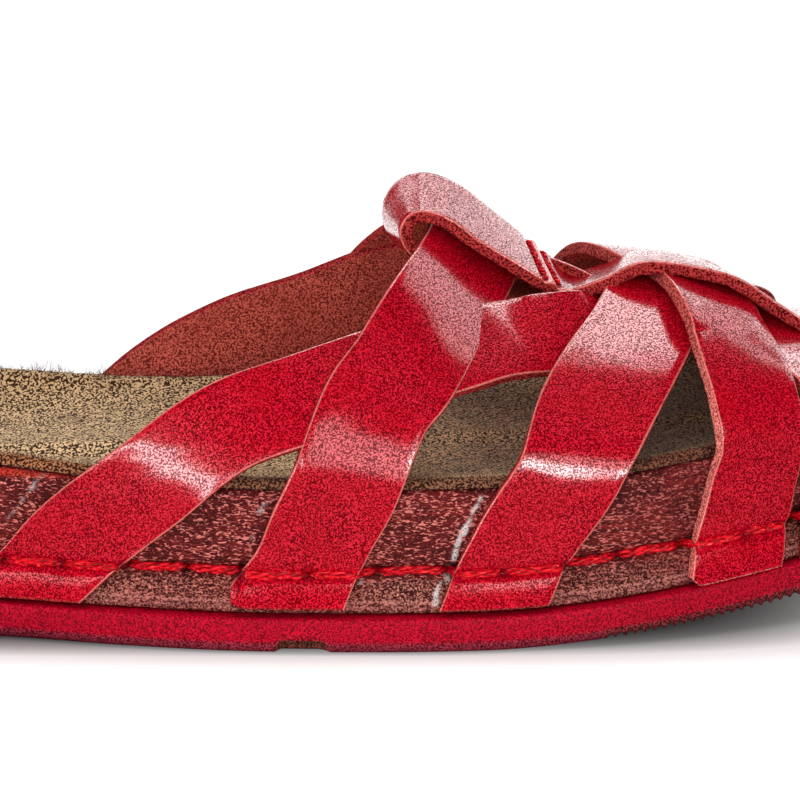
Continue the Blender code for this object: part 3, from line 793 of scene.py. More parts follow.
def leather_finish():
    """Red grain leather. cut marks the raw edge band; pale a lighter one, painted light on a
    cut that faces away from the lamps; lip its polished corners, paler there partly as the
    edge's own colour and partly as a painted highlight; flesh the suede underside; hole_shade
    the painted shade in a stitch hole."""
    skin = Finish("red_leather", Specular_IOR_Level=0.0, Coat_IOR=2.0, Coat_Roughness=0.17)
    cells = skin.noise(0.31, detail=0.0, warp=0.2)
    clouds = skin.noise(9.0, detail=3.0)
    fluff = skin.noise(0.36, detail=1.0, roughness=0.6)
    grain, fleck = cells.between(0.4, 0.6), fluff.between(0.4, 0.6)
    face = skin.layered(
        (112, 0, 12), (grain, (220, 2, 40)),
        (clouds.between(0.4, 0.75) * 0.25, (204, 2, 26)),
        (cells.between(0.6, 0.75) * 0.25, (240, 60, 76)))
    suede = skin.layered(
        (112, 36, 30), (fleck, (228, 108, 94)),
        (clouds.between(0.3, 0.7) * 0.3, (156, 56, 48)))
    raw = skin.mix(fleck, (84, 12, 18), (190, 62, 60))
    # painted light: the cut painted paler, as if lit, where it faces away from the lamps
    painted_lit_cut = skin.mix(fleck, (158, 58, 56), (255, 150, 138))
    cut, flesh = skin.mark("cut"), skin.mark("flesh")
    colour = skin.layered(
        face, (flesh, suede), (cut, skin.mix(skin.mark("pale"), raw, painted_lit_cut)),
        # a pale line on the polished corners, partly the edge's own colour and partly a painted
        # highlight
        (skin.mark("lip") * fluff.between(0.25, 0.5), (244, 140, 128)),
        # painted shade in the stitch holes
        (skin.mark("hole_shade"), (48, 2, 6)))
    matt = cut.or_more(flesh)
    gloss = (0.2 + 0.8 * grain) * (1 - matt) * (1 - 0.8 * skin.mark("pressed"))
    fine = skin.bump(cells, 0.08, 0.8)
    deep = skin.bump(fluff, 0.22, 0.6)
    turned = skin.node("ShaderNodeMix", {"data_type": "VECTOR"},
                       {0: matt, 4: fine, 5: deep}, output=1)
    return skin.wear(Base_Color=colour, Roughness=0.4 + matt * 0.4, Coat_Weight=gloss,
                     Normal=turned)


def wall_finish():
    """Bark-like footbed wall. relief is the height of its lumps, glue the dried streaks,
    dyed the red-orange top layer, grey the paler worn foot, hole_shade the painted shade in
    the stitch holes."""
    bark = Finish("bark_wall", Specular_IOR_Level=0.1)
    dashes = bark.noise(0.32, stretch=(2.8, 2.8, 1.0), detail=0.0, warp=0.9)
    strata = bark.noise(0.4, stretch=(16.0, 16.0, 1.0), detail=1.0, warp=0.3)
    grit = bark.noise(0.36, detail=0.0, warp=0.5)
    clouds = bark.noise(11.0, detail=3.0)
    high = (dashes + bark.mark("relief") * 0.05 + clouds * 0.12).between(0.64, 0.74)
    toe = bark.axes()[0].between(0.055, 0.08)
    salt = bark.mix(grit.between(0.52, 0.63), (56, 18, 16), (214, 142, 122))
    top = bark.mix(grit.between(0.4, 0.6), (120, 22, 18), (204, 58, 40))
    colour = bark.layered(
        (88, 18, 20), (clouds.between(0.35, 0.65), (132, 34, 34)),
        ((1 - dashes).between(0.48, 0.62) * 0.6, (50, 8, 10)),
        ((1 - strata).between(0.5, 0.6) * 0.6, (40, 8, 10)),
        (grit.between(0.45, 0.6) * 0.3, (134, 48, 44)),
        (high * (0.95 - toe * 0.45), (224, 126, 116)),
        (bark.mark("grey") * 0.85, salt),
        (bark.mark("dyed"), top),
        (bark.mark("line") * grit.between(0.3, 0.55), (206, 132, 122)),
        (bark.mark("glue") * grit.between(0.2, 0.5) * 0.85, (240, 228, 224)),
        # painted shade in the stitch holes
        (bark.mark("hole_shade"), (34, 4, 6)))
    turned = bark.bump(dashes, 0.35, 0.7, under=bark.bump(grit, 0.2, 0.6))
    return bark.wear(Base_Color=colour, Roughness=0.7 - high * 0.2, Normal=turned)


def suede_finish(name, dark, light, edge):
    """Brushed suede, mottled, with an edge colour where the mesh says so, and painted shade:
    darker towards the cup's inner side and towards the toe.
    """
    nap = Finish(name, Specular_IOR_Level=0.05, Sheen_Weight=0.1, Sheen_Roughness=0.5)
    fluff = nap.noise(0.42, detail=0.5, roughness=0.55, warp=0.4)
    patches = nap.noise(6.0, detail=3.0, roughness=0.6)
    along, spread, _height = nap.axes()
    edge = nap.mix(along.between(-0.03, 0.0), edge, (118, 48, 34))
    rim = nap.mix(fluff.between(0.46, 0.6), (50, 20, 12), edge)
    fringe = (nap.mark("edge") + (fluff - 0.5) * 1.2).between(0.35, 0.7)
    colour = nap.layered(
        dark, (fluff.between(0.44, 0.56), light),
        (patches.between(0.45, 0.8) * 0.3, dark),
        # painted shade on the far, inner side of the cup
        (spread.between(-0.005, 0.042) * 0.45, dark),
        # painted shadow of the straps over the toe
        (along.between(0.055, 0.075) * 0.45, dark),
        (fringe * 0.85, rim))
    turned = nap.bump(fluff, 0.3, 0.8)
    return nap.wear(Base_Color=colour, Roughness=0.95, Normal=turned)


def rubber_finish():
    """Crimson moulded rubber with a fine speckle: bevel marks its darker foot, groove_brown the
    brown in its tread teeth and waist groove, tread its darker, rougher underside."""
    gum = Finish("crimson_rubber", Specular_IOR_Level=0.06)
    speck = gum.noise(0.31, detail=0.0, warp=0.2)
    clouds = gum.noise(14.0, detail=3.0)
    foot = gum.mix(speck.between(0.38, 0.62), (78, 10, 28), (158, 50, 66))
    brown = gum.mix(speck.between(0.4, 0.6), (44, 16, 12), (124, 66, 52))
    under = gum.mark("tread")
    colour = gum.layered(
        (122, 0, 22), (speck.between(0.38, 0.62), (208, 8, 46)),
        (clouds.between(0.4, 0.75) * 0.25, (160, 2, 34)),
        # brown in the tread's teeth and in the waist groove
        (gum.mark("bevel"), foot), (under * 0.7, (96, 30, 34)), (gum.mark("groove_brown"), brown))
    turned = gum.bump(speck, 0.08, 0.6)
    return gum.wear(Base_Color=colour, Roughness=0.5 + under * 0.3, Normal=turned)


def thread_finish():
    """Waxed red thread, lighter in streaks along its fibres, a painted sheen, and darker where
    it goes into a hole, painted shade.
    """
    twist = Finish("red_thread", Specular_IOR_Level=0.15)
    fibre = twist.noise(0.35, stretch=(5.0, 1.0, 1.0), detail=1.0)
    colour = twist.layered(
        (150, 0, 12), (fibre.between(0.4, 0.6), (246, 16, 38)),
        # painted sheen in pale streaks, and painted shade where the thread goes into a hole
        (fibre.between(0.66, 0.78), (255, 104, 96)), (twist.mark("hole_shade"), (56, 0, 4)))
    return twist.wear(Base_Color=colour, Roughness=0.36,
                      Normal=twist.bump(fibre, 0.1, 0.7))


def floor_finish():
    """Pale paper lit from behind, with a painted shadow under the sandal, where its glow is
    taken away and its colour darkened: far is 0 at the middle of the sole and 1 on a rounded
    box 265 mm long and 103 mm wide."""
    paper = Finish("pale_floor", Roughness=0.9, Specular_IOR_Level=0.1, Emission_Strength=0.42)
    x, y, _height = paper.axes()
    long, wide = x * x * 57.0, y * y * 380.0
    far = long * long + wide * wide
    # painted shadow: shade is 1 under the middle of the sole and fades out round the rounded
    # box
    shade = ((1 - far.between(0.4, 1.3)) * 0.3).or_more(1 - far.between(0.04, 0.93))
    glow = paper.mix(shade, (255, 255, 255), (0, 0, 0))
    pale = paper.mix(paper.noise(300.0).between(0.2, 0.8), (238, 238, 238), (242, 242, 242))
    colour = paper.mix(shade * 0.9, pale, (58, 36, 38))
    return paper.wear(Emission_Color=glow, Base_Color=colour)


# ---------------------------------------------------------------- sole


def seam_holes(line):
    """Runs of the stitch holes along the wall line: the set ones on the outer side, then
    even ones, each a little off its place as in hand sewing."""
    rng = np.random.default_rng(5)
    stations = np.array(OUTER_HOLES)
    places = np.column_stack([stations, wall_lines(stations)[0]])
    known = line.run_of(places)
    rest = known[0] + line.length - known[-1]
    count = int(round(rest / SEAM_PITCH))
    more = known[-1] + rest * np.arange(1, count) / count
    more = more + rng.uniform(-0.6, 0.6, len(more))
    return np.sort(np.concatenate([known, more % line.length]))


def to_nearest(run, marks, length):
    """Distance along a closed line from each run to the nearest mark."""
    gap = np.abs(run[:, None] - marks[None]) % length
    return np.minimum(gap, length - gap).min(1)


def stroke_mask(x, height, strokes):
    """How strongly each place of the outer wall lies in one of the strokes: its strength
    times exp(-(d / width)^2), d the distance to the stroke's line."""
    mask = np.zeros(x.shape)
    for x0, h0, x1, h1, width, strength in strokes:
        span = (x1 - x0) ** 2 + (h1 - h0) ** 2
        t = np.clip(((x - x0) * (x1 - x0) + (height - h0) * (h1 - h0)) / span, 0, 1)
        away = np.hypot(x - x0 - t * (x1 - x0), height - h0 - t * (h1 - h0))
        mask = np.maximum(mask, strength * np.exp(-((away / width) ** 2)))
    return mask


def make_midsole(line, holes, material):
    """The footbed block: rings up the wall, moved out by its profile, its bark relief and
    the sewing groove, then rings down into the cup."""
    rng = np.random.default_rng(11)
    height = np.concatenate([[OUTSOLE_HEIGHT + GAP], np.linspace(WALL_BASE, WALL_TOP, 50)])
    outset = smooth_rows(WALL, height)[:, 0]
    outset[0] = WALL[0][1] - 0.4
    lumps = (0.5 * line.relief(rng, height, 1.1, 3.6)
             + 0.35 * line.relief(rng, height, 0.6, 1.7)
             + 0.25 * line.relief(rng, height, 0.9, 0.9))
    hollows = np.minimum(line.relief(rng, height, 2.4, 7.0), 0)
    calm = smooth_step((height - 7.3) / 2.0) * smooth_step((29.2 - height) / 1.6)
    bark = (0.26 * lumps + 0.3 * hollows) * calm[:, None]
    groove = 0.95 * bell(height - SEAM_HEIGHT, 0.8)
    away = to_nearest(line.run, holes, line.length)
    pits = np.exp(-((away[None] / 1.0) ** 2) - ((height[:, None] - SEAM_HEIGHT) / 0.9) ** 2)
    layers = bell(height - 7.9, 0.22) + bell(height - 9.0, 0.25)
    x = line.plan[:, 0]
    on_outer = line.plan[:, 1] < wall_lines(x)[0] + 3
    glue = stroke_mask(np.broadcast_to(x, bark.shape), height[:, None], GLUE) * on_outer
    glue = glue * (0.65 + 0.35 * line.relief(rng, height, 0.7, 0.9))
    glue = smooth_step((glue - 0.22) / 0.4)
    out = (outset[:, None] + bark - groove[:, None] - 0.7 * pits
           + 0.12 * layers[:, None] + 0.22 * glue)
    lip = heel_lip(x)
    wall = [line.ring(o, h + lip * smooth_step((h - 16) / 13), climb(h))
            for o, h in zip(out, height)]
    edge = line.ring(CUP_OUTSET, CUP_RIM + lip, 1.0)
    rings = wall + [edge] + cup_rings(line.ring(CUP_OUTSET, CUP_RIM, 1.0), CUP_SHARES)
    points, faces = lofted(rings)
    extra = len(rings) - len(height)

    def filled(values):
        return np.vstack([values, np.zeros((extra, len(line.run)))])

    thin = smooth_step((-24 - x) / 24)[None] * on_outer
    dyed = smooth_step((height[:, None] - (29.2 - 1.5 * thin)) / 0.5) * (0.3 + 0.7 * thin)
    uneven = 0.6 + 0.4 * line.relief(rng, height, 5.0, 14.0)
    worn = smooth_step((13.6 - height) / 1.5)[:, None] * uneven
    values = {
        "relief": filled(lumps * calm[:, None]),
        "glue": filled(glue),
        "grey": filled(np.clip(worn, 0, 1)),
        "line": filled(0.9 * layers[:, None] + 0 * bark),
        "dyed": filled(dyed),
        # painted shade in the stitch holes, over the pits
        "hole_shade": filled(np.clip(1.3 * pits, 0, 1)),
    }
    return add_piece("footbed_wall", points, faces, material, "midsole", values=values)


def toothed(ring, share, deep):
    """Cuts the tread's teeth and the waist groove into a ring of the outsole. Gives the ring,
    and how strongly each of its places lies in the one and in the other."""
    x = ring[:, 0]
    teeth = 0.5 - 0.5 * np.cos((x - FIRST_TOOTH) * 2 * np.pi / TOOTH_PITCH)
    teeth = TOOTH_DEPTH * smooth_step(teeth * 1.2) * smooth_step((x - TEETH_START) / 3)
    notch = smooth_step((WAIST_TO - x) / 2.6)
    notch = WAIST_DEPTH * smooth_step((x - WAIST_FROM) / 1.6) * notch
    ring[:, 2] += share * teeth + np.clip(notch * deep - share * teeth, 0, None)
    return ring, (np.clip(share, 0, 1) * (teeth + 0.4 * (x > TEETH_START + 1)), notch * deep)


def make_outsole(line, material):
    """A rubber slab: rings round its rounded edge, then rings drawn in across the bottom,
    toothed under the toes, with a shallow groove across the waist."""
    top = line.ring(OUTSOLE_PROFILE[0][0], OUTSOLE_HEIGHT)
    plain = [shrunk(top, share) for share in (0.05, 0.5, 0.9)]
    cut = []
    for outset, height in OUTSOLE_PROFILE:
        share = np.clip((2.6 - height) / 2.2, 0, 1)
        deep = share * (1.0 if outset > 2.5 else 0.6)
        cut.append(toothed(line.ring(outset, height), share, deep))
    shares = np.linspace(0.985, 0.04, 26)
    low = line.ring(*OUTSOLE_PROFILE[-1])
    cut += [toothed(shrunk(low, share), share**3, 0.25) for share in shares]
    points, faces = lofted(plain + [ring for ring, _marks in cut])
    marks = np.array([np.zeros((2, len(line.run)))] * len(plain) + [m for _ring, m in cut])
    high = [9.0] * len(plain) + [h for _outset, h in OUTSOLE_PROFILE] + [0.0] * len(shares)
    under = np.zeros(marks[:, 0].shape)
    under[-len(shares):] = 1.0
    return add_piece("rubber_outsole", points, faces, material, "outsole", values={
        "tread": under,
        "bevel": smooth_step((2.4 - np.array(high)[:, None]) / 0.7) + 0 * under,
        "groove_brown": np.clip(0.9 * marks[:, 0] + 1.2 * marks[:, 1], 0, 1),
    })


def insole_rings(line, rng):
    """Rings of the insole cover from its underside, round its fuzzy edge and into the cup, and
    the number of the first one on the edge."""
    base = CUP_RIM + GAP
    lip = heel_lip(line.plan[:, 0])
    wave = line.wave(rng, 1.2) * 0.14 + line.wave(rng, 5.0) * 0.16
    rings = cup_rings(line.ring(CUP_OUTSET, base, 1.0), CUP_SHARES[::-1])
    rings.append(line.ring(CUP_OUTSET, base + lip, 1.0))
    first = len(rings)
    for outset, height, share in INSOLE_PROFILE:
        rings.append(line.ring(TOP_OUTSET + outset + wave, base + height + lip * share, 1.0))
    top = line.ring(CUP_OUTSET, base + INSOLE, 1.0)
    rings += cup_rings(top, np.concatenate([np.linspace(0.93, 0.3, 34), [0.2, 0.12, 0.05]]))
    return np.array(rings), first


def make_insole(line, material):
    """The suede cover of the cup, with a soft uneven nap worked into its surface."""
    rng = np.random.default_rng(21)
    rings, first = insole_rings(line, rng)
    order = np.arange(len(rings), dtype=float)
    nap = line.relief(rng, order, 1.3, 1.4) + 0.8 * line.relief(rng, order, 4.0, 9.0)
    rings[first:, :, 2] += 0.09 * nap[first:]
    points, faces = lofted(rings)
    edge = np.zeros(rings.shape[:2])
    edge[first - 1:first + 2] = 1.0
    edge[first + 2:first + 6] = np.array([1.0, 0.85, 0.65, 0.4])[:, None]
    return add_piece("suede_insole", points, faces, material, "insole",
                     values={"edge": edge})


def fibres(rng, roots, lean, length, thickness):
    """Fine hairs: each is a three-sided tube along root + lean t + curl t^2, tapering to
    its tip, as one set of points and faces."""
    count = len(roots)
    t = np.linspace(0, 1, FIBRE_BENDS)[None, :, None]
    curl = rng.normal(size=(count, 1, 3)) * 0.45
    spine = roots[:, None] + length[:, None, None] * (lean[:, None] * t + curl * t**2)
    ahead = unit(lean[:, None] + 2 * curl * t)
    aside = unit(np.cross(ahead, np.array([0.31, 0.22, 0.93])))
    above = np.cross(ahead, aside)
    turn = np.arange(FIBRE_SIDES) * 2 * np.pi / FIBRE_SIDES
    radius = (thickness[:, None] * np.linspace(1, 0.25, FIBRE_BENDS))[:, :, None, None]
    around = (aside[:, :, None] * np.cos(turn)[:, None]
              + above[:, :, None] * np.sin(turn)[:, None])
    points = (spine[:, :, None] + around * radius).reshape(-1, 3)
    one = grid_faces(FIBRE_BENDS, FIBRE_SIDES, round_columns=True)
    last = FIBRE_BENDS * FIBRE_SIDES - 1
    starts = np.arange(count)[:, None, None] * (last + 1)
    ends = np.array([[0, 2, 1], [last - 2, last - 1, last]])
    return points, [(one + starts).reshape(-1, 4), (ends + starts).reshape(-1, 3)]


def make_insole_fuzz(line, material):
    """Suede fibres that stand up round the insole's edge, thickest at the heel, in tufts."""
    rng = np.random.default_rng(31)
    rings, first = insole_rings(line, np.random.default_rng(21))
    column = rng.integers(0, len(line.run), FIBRES)
    row = first + rng.integers(2, 8, FIBRES)
    roots = rings[row, column]
    tufts = line.wave(rng, 4.0)[column]
    outward = np.column_stack([line.out[column], np.zeros(FIBRES)])
    lean = unit(outward * rng.uniform(-0.3, 0.8, (FIBRES, 1))
                + np.array([0, 0, 0.9]) + rng.normal(size=(FIBRES, 3)) * 0.45)
    heel = smooth_step((-10 - roots[:, 0]) / 25)
    length = rng.uniform(0.25, 0.75, FIBRES) + heel * rng.uniform(0, 0.7, FIBRES)
    length = length + np.maximum(tufts - 0.5, 0) * 2.4 * (0.3 + 0.7 * heel)
    points, faces = fibres(rng, roots - 0.1 * lean, lean, length,
                           rng.uniform(0.04, 0.085, FIBRES))
    near = np.repeat((row < first + 6).astype(float), FIBRE_BENDS * FIBRE_SIDES)
    return add_piece("insole_fuzz", points, faces, material,
                     values={"edge": near})


# ---------------------------------------------------------------- straps


def strap_section(width, thickness, corner):
    """Points round a strap's cross-section as (offset, level), and how much each one shows
    of the cut edge, of its polished lip and of the flesh face."""
    inner = width / 2 - corner
    face = np.linspace(-inner, inner, FACE_POINTS)
    arc = np.linspace(0, np.pi / 2, 5)[1:]
    half = thickness / 2
    side = np.linspace(half - corner, -half + corner * 0.5, 5)[1:]
    rows = [(o, half, 0, 0, 0) for o in face]
    rows += [(inner + corner * np.sin(a), half - corner + corner * np.cos(a),
              smooth_step((a - 0.9) / 0.6), bell(a - 0.75, 0.4), 0) for a in arc]
    rows += [(width / 2, v, 1, 0, 0) for v in side]
    rows += [(inner + 0.6 * corner, -half, 0.6, 0, 0.4)]
    right = rows[FACE_POINTS:]
    rows += [(o, -half, 0, 0, 1) for o in face[::-2]]
    rows += [(-o, v, c, p, f) for o, v, c, p, f in right[::-1]]
    return np.array(rows).T


def strap_body(sheet, normals, width, thickness, corner, rng, dent, rough=1.0):
    """A strap carried along its mid-surface: each point of the section is placed by its
    offset across the sheet and its level along the normals, with uneven cut edges, more so
    for a rough above 1, and a faint waviness of the grain face."""
    offset, level, cut, lip, flesh = strap_section(width, thickness, corner)
    lines, steps = sheet.shape[:2]
    at = np.clip((offset / width + 0.5) * (lines - 1), 0, lines - 1.001)
    low, t = at.astype(int), (at % 1)[:, None, None]
    middle = sheet[low] * (1 - t) + sheet[low + 1] * t
    normal = unit(normals[low] * (1 - t) + normals[low + 1] * t)
    aside = unit(np.gradient(sheet, axis=0))[low]
    run = run_along(sheet[lines // 2])
    order = np.arange(len(offset), dtype=float)

    def uneven(*layers):
        return sum(relief(rng, order, run, cell, length) * high
                   for cell, length, high in layers)

    ragged = uneven((1.6, 0.7, 0.05), (1.2, 1.6, 0.05))
    drift = uneven((30, 9.0, 0.12))
    outward = np.sign(offset)[:, None] * (cut[:, None] * ragged) + drift * (cut[:, None] > 0)
    wavy = uneven((6.0, 8.0, 0.06), (4.0, 3.5, 0.025))
    face = ((level > 0) & (cut < 0.5))[:, None]
    rise = level[:, None] + wavy * face
    nap = uneven((1.0, 0.9, 0.05), (2.0, 2.4, 0.05))
    rise = rise + nap * rough * (flesh + (flesh == 0.4) + 0.4 * cut)[:, None]
    points = middle + normal * rise[..., None] + aside * outward[..., None]
    depth, sewn = dent(points)
    points = points - normal * (depth * (level > -0.2 * thickness)[:, None])[..., None]
    count = len(offset)
    faces = [grid_faces(count, steps, round_rows=True)]
    faces += [section_cap(count, steps, step) for step in (0, steps - 1)]
    marks = [np.broadcast_to(m[:, None], (count, steps)).copy() for m in (cut, lip, flesh)]
    for step in (0, 1, -2, -1):
        marks[0][:, step] = np.maximum(marks[0][:, step], 0.8 * (flesh < 0.5))
    values = dict(zip(("cut", "lip", "flesh"), marks), **sewn)
    return points.reshape(-1, 3), faces, values


def cross_row(x, y):
    """Distance along the foot from the first row of stitches that crosses the centre strap
    and sews its tail down."""
    return x - (52.9 - 0.2 * y)


def cross_beat(y):
    """1 at each hole of a cross row, and 0 half way between two."""
    return (1 + np.cos(2 * np.pi * y / CROSS_PITCH)) / 2


def cross_dent(points):
    """Depth, painted hole shade and pale of the centre strap's grain round its two cross rows:
    a groove along each row, pits at the holes, and scuffed leather puffed up between them."""
    x, y, z = points[..., 0], points[..., 1], points[..., 2]
    there = (z > 56.5) & (np.abs(x - 54) < 8)
    away = np.abs(cross_row(x, y)[..., None] - np.array(CROSS_ROWS))
    groove = bell(away, 0.6).max(-1) * there
    pit = groove**2 * cross_beat(y) ** 4
    puff = bell(cross_row(x, y) - sum(CROSS_ROWS) / 2, 0.6) * there
    return 0.5 * groove + 0.4 * pit - 0.25 * puff, pit, puff


def make_cross_stitches(sheet, material):
    """The rows of thread over the centre strap, from edge to edge, dipping at each hole."""
    middle = sheet[len(sheet) // 2]
    first = middle[:, 0].argmin() + CROSS_FIRST
    for letter, row in zip("ab", CROSS_ROWS):
        spots = []
        for track in sheet[1:-1]:
            track = track[first:first + CROSS_REACH]
            gap = cross_row(track[:, 0], track[:, 1]) - row
            spots.append([np.interp(0.0, gap, axis) for axis in track.T])
        spots = np.array(spots)
        spots[:, 2] += LEATHER / 2 + 0.1
        track = smooth_path(spots, 160)
        dip = cross_beat(track[:, 1]) ** 6
        track[:, 2] -= 0.9 * dip
        make_thread("cross_thread_" + letter, track, dip, material, closed=False,
                    strands=2, spacing=0.3, radius=0.34, pitch=2.6)


def section_cap(count, steps, step):
    """The end of a strap as one many-sided face round its section."""
    return (np.arange(count) * steps + step)[None]


def strap_sheet(last, rows, lines=17, steps=520, corner=0.0, trim=0.0):
    """Mid-surface of a strap that follows the last, and its normals.

    Lines run along the strap at even offsets across its width, each cut off level at the
    foot of the wall. An offset is taken along the last, square to the middle line; round
    the rim it is partly taken straight, as stiff leather does. corner rounds the tab at the
    strap's start on the side of the heel, and trim cuts that tab shorter.
    """
    rows = np.asarray(rows, float)
    keys = np.column_stack([rows[:, 0], last.to_run(rows[:, 0], rows[:, 1]), rows[:, 2:]])
    first, final = 2 * keys[0] - keys[1], 2 * keys[-1] - keys[-2]
    x, run, layer, roll, width = smooth_path(np.vstack([first, keys, final]), 2400).T
    by_x, by_run, normal = last.slopes(x, run)
    ahead = unit(np.gradient(last.point(x, run), axis=0))
    side = unit(np.cross(normal, ahead))
    tilt = np.radians(roll)
    height = LEATHER / 2 + GAP + np.maximum(layer, 0) * STRAP_LAYER
    middle = last.point(x, run) + normal * height[:, None]
    turn = np.abs(last.to_around(x, run))
    share = STRAIGHT * smooth_step((turn - 0.55) / 0.25) * smooth_step((1.5 - turn) / 0.3)
    level = side * np.cos(tilt)[:, None] + normal * np.sin(tilt)[:, None]
    number = np.arange(len(x))
    sheet = []
    for offset in np.linspace(-0.5, 0.5, lines):
        along_x, along_run = last.beside(x, run, side, width * offset * np.cos(tilt))
        lift = height + width * offset * np.sin(tilt)
        inset = max(corner - (0.5 - offset) * width.mean(), 0)
        short = (trim + corner - np.sqrt(corner**2 - inset**2)) / (RIM_HEIGHT - WALL_BASE)
        foot = np.where(number < len(x) / 2, STRAP_FOOT - short, STRAP_FOOT)
        inside = np.flatnonzero(np.abs(last.to_around(along_x, along_run)) < foot)
        at = np.linspace(inside[0], inside[-1], steps + 1)
        at_x, at_run, at_lift, at_share = (
            np.interp(at, number, values) for values in (along_x, along_run, lift, share))
        out = last.slopes(at_x, at_run)[2]
        followed = last.point(at_x, at_run) + out * at_lift[:, None]
        straight = read_at(at, number, middle + level * (width * offset)[:, None])
        sheet.append(followed + (straight - followed) * at_share[:, None])
    sheet = np.array(sheet)
    faces = unit(np.cross(np.gradient(sheet, axis=0), np.gradient(sheet, axis=1)))
    outward = np.sign(dot(faces, sheet - np.array([0, 0, 20.0])))[..., None]
    return sheet, faces * outward


def centre_sheet(lines=17, steps=640):
    """Mid-surface of the centre strap and its normals, level across but for its roll."""
    fine = smooth_path(CENTRE_STRAP, 1800)
    run = run_along(fine[:, :3])
    at = np.linspace(0, run[-1], steps + 1)
    samples = read_at(at, run, fine)
    middle, roll, crown = samples[:, :3], np.radians(samples[:, 3]), samples[:, 4]
    ahead = unit(np.gradient(middle, at, axis=0))
    outward = unit(np.cross(ahead, (0.0, 1.0, 0.0)))
    across = np.cross(outward, ahead)
    side = across * np.cos(roll)[:, None] + np.cross(ahead, across) * np.sin(roll)[:, None]
    normal = np.cross(ahead, side)
    share = np.linspace(-1, 1, lines)[:, None]
    sheet = middle[:, None] + side[:, None] * (CENTRE_WIDTH / 2 * share)
    sheet = sheet - normal[:, None] * (crown[:, None] * share[:, 0] ** 2)[..., None]
    tilt = 4 * crown[:, None] / CENTRE_WIDTH * share[:, 0]
    normals = unit(normal[:, None] + side[:, None] * tilt[..., None])
    return sheet.swapaxes(0, 1), normals.swapaxes(0, 1)


def above_seam(points):
    """Height of points over the sole's seam, which takes part in the arch's rise."""
    lift = climb(SEAM_HEIGHT) * arch_rise(points[..., 0], points[..., 1])
    return points[..., 2] - spring(points[..., 0]) - lift - SEAM_HEIGHT


def seam_dent(line, holes):
    """A function that gives, for points on a strap, how deep the sewing draws the leather
    in, a groove at the seam's height with a pit at each hole, and two marks: hole_shade, the
    painted shade in a pit, and pressed from the seam down, where the grain is dulled."""
    index = line.index_of(holes)
    spots = line.ring(0.0, SEAM_HEIGHT, climb(SEAM_HEIGHT))[index]
    spots = spots + np.column_stack([line.out[index] * 2.0, np.zeros(len(index))])

    def dent(points):
        flat = points.reshape(-1, 3)
        height = above_seam(flat)
        gaps = np.full(len(flat), 99.0)
        low = np.flatnonzero(np.abs(height) < 4)
        gaps[low] = np.linalg.norm(flat[low, None] - spots[None], axis=2).min(1)
        groove = bell(height, 0.85) * (flat[:, 2] < 34)
        pit = bell(gaps, 1.25)
        shape = points.shape[:2]
        return (0.75 * groove + 0.7 * pit).reshape(shape), {
            "hole_shade": np.clip(1.2 * pit, 0, 1).reshape(shape),
            "pressed": smooth_step((2.5 - height) / 2.5).reshape(shape),
        }

    return dent


def seam_line(line, feet, holes):
    """Path of the sewing thread round the sole, on the wall in its groove, out over each
    strap's foot and down into the material at each hole; and how close each of its points
    is to a hole."""
    out = np.full(len(line.run), SEAM_OUTSET)
    for runs, outsets in feet:
        order = np.argsort(runs)
        runs, outsets = runs[order], outsets[order]
        here = (line.run >= runs[0] - 0.1) & (line.run <= runs[-1] + 0.1)
        out[here] = np.interp(line.run[here], runs, outsets) + 0.3
    spread = np.exp(-0.5 * (np.arange(-9, 10) * (line.run[1] - line.run[0]) / 0.7) ** 2)
    out = np.convolve(np.concatenate([out[-9:], out, out[:9]]), spread / spread.sum(), "valid")
    away = to_nearest(line.run, holes, line.length)
    dip = bell(away, 1.05)
    wander = line.wave(np.random.default_rng(41), 7.0) * 0.22
    return line.ring(out - 1.7 * dip, SEAM_HEIGHT + wander, climb(SEAM_HEIGHT)), dip


def make_thread(name, track, dark, material, closed, strands=3, spacing=0.42, radius=0.48,
                pitch=9.0, sides=7):
    """Strands twisted round a track: strand k runs at spacing from the track's line, turned
    by 2 pi (run / pitch + k / strands), each a round tube."""
    ahead = (np.roll(track, -1, axis=0) - np.roll(track, 1, axis=0)) if closed \
        else np.gradient(track, axis=0)
    ahead = unit(ahead)
    aside = unit(np.cross(ahead, (0.0, 0.0, 1.0)))
    above = np.cross(aside, ahead)
    run = run_along(track)
    turns = max(round(run[-1] / pitch), 1) if closed else run[-1] / pitch
    phase = 2 * np.pi * turns * run / (run[-1] + (run[1] if closed else 0))
    ring = np.arange(sides) * 2 * np.pi / sides
    bodies, faces = [], []
    for strand in range(strands):
        angle = phase + 2 * np.pi * strand / strands
        centre = track + spacing * (aside * np.cos(angle)[:, None]
                                    + above * np.sin(angle)[:, None])
        tube = centre[:, None] + radius * (aside[:, None] * np.cos(ring)[:, None]
                                           + above[:, None] * np.sin(ring)[:, None])
        start = strand * len(track) * sides
        bodies.append(tube.reshape(-1, 3))
        faces.append(grid_faces(len(track), sides, round_rows=closed,
                                round_columns=True) + start)
        if not closed:
            ends = np.array([np.arange(sides), np.arange(sides) + (len(track) - 1) * sides])
            faces.append(ends + start)
    # painted shade where the thread goes into a hole
    shade = np.tile(np.repeat(dark, sides), strands)
    return add_piece(name, np.vstack(bodies), faces, material,
                     values={"hole_shade": shade})


def seam_crossing(line, face, height):
    """Where a foot of a strap crosses the seam, as (runs along the wall line, outsets). face
    holds the points of its grain face there, and height theirs over the seam."""
    spots = face[np.arange(len(face)), np.abs(height).argmin(1)]
    runs = line.run_of(spots)
    index = line.index_of(runs)
    return runs, dot(spots[:, :2] - line.plan[index], line.out[index])


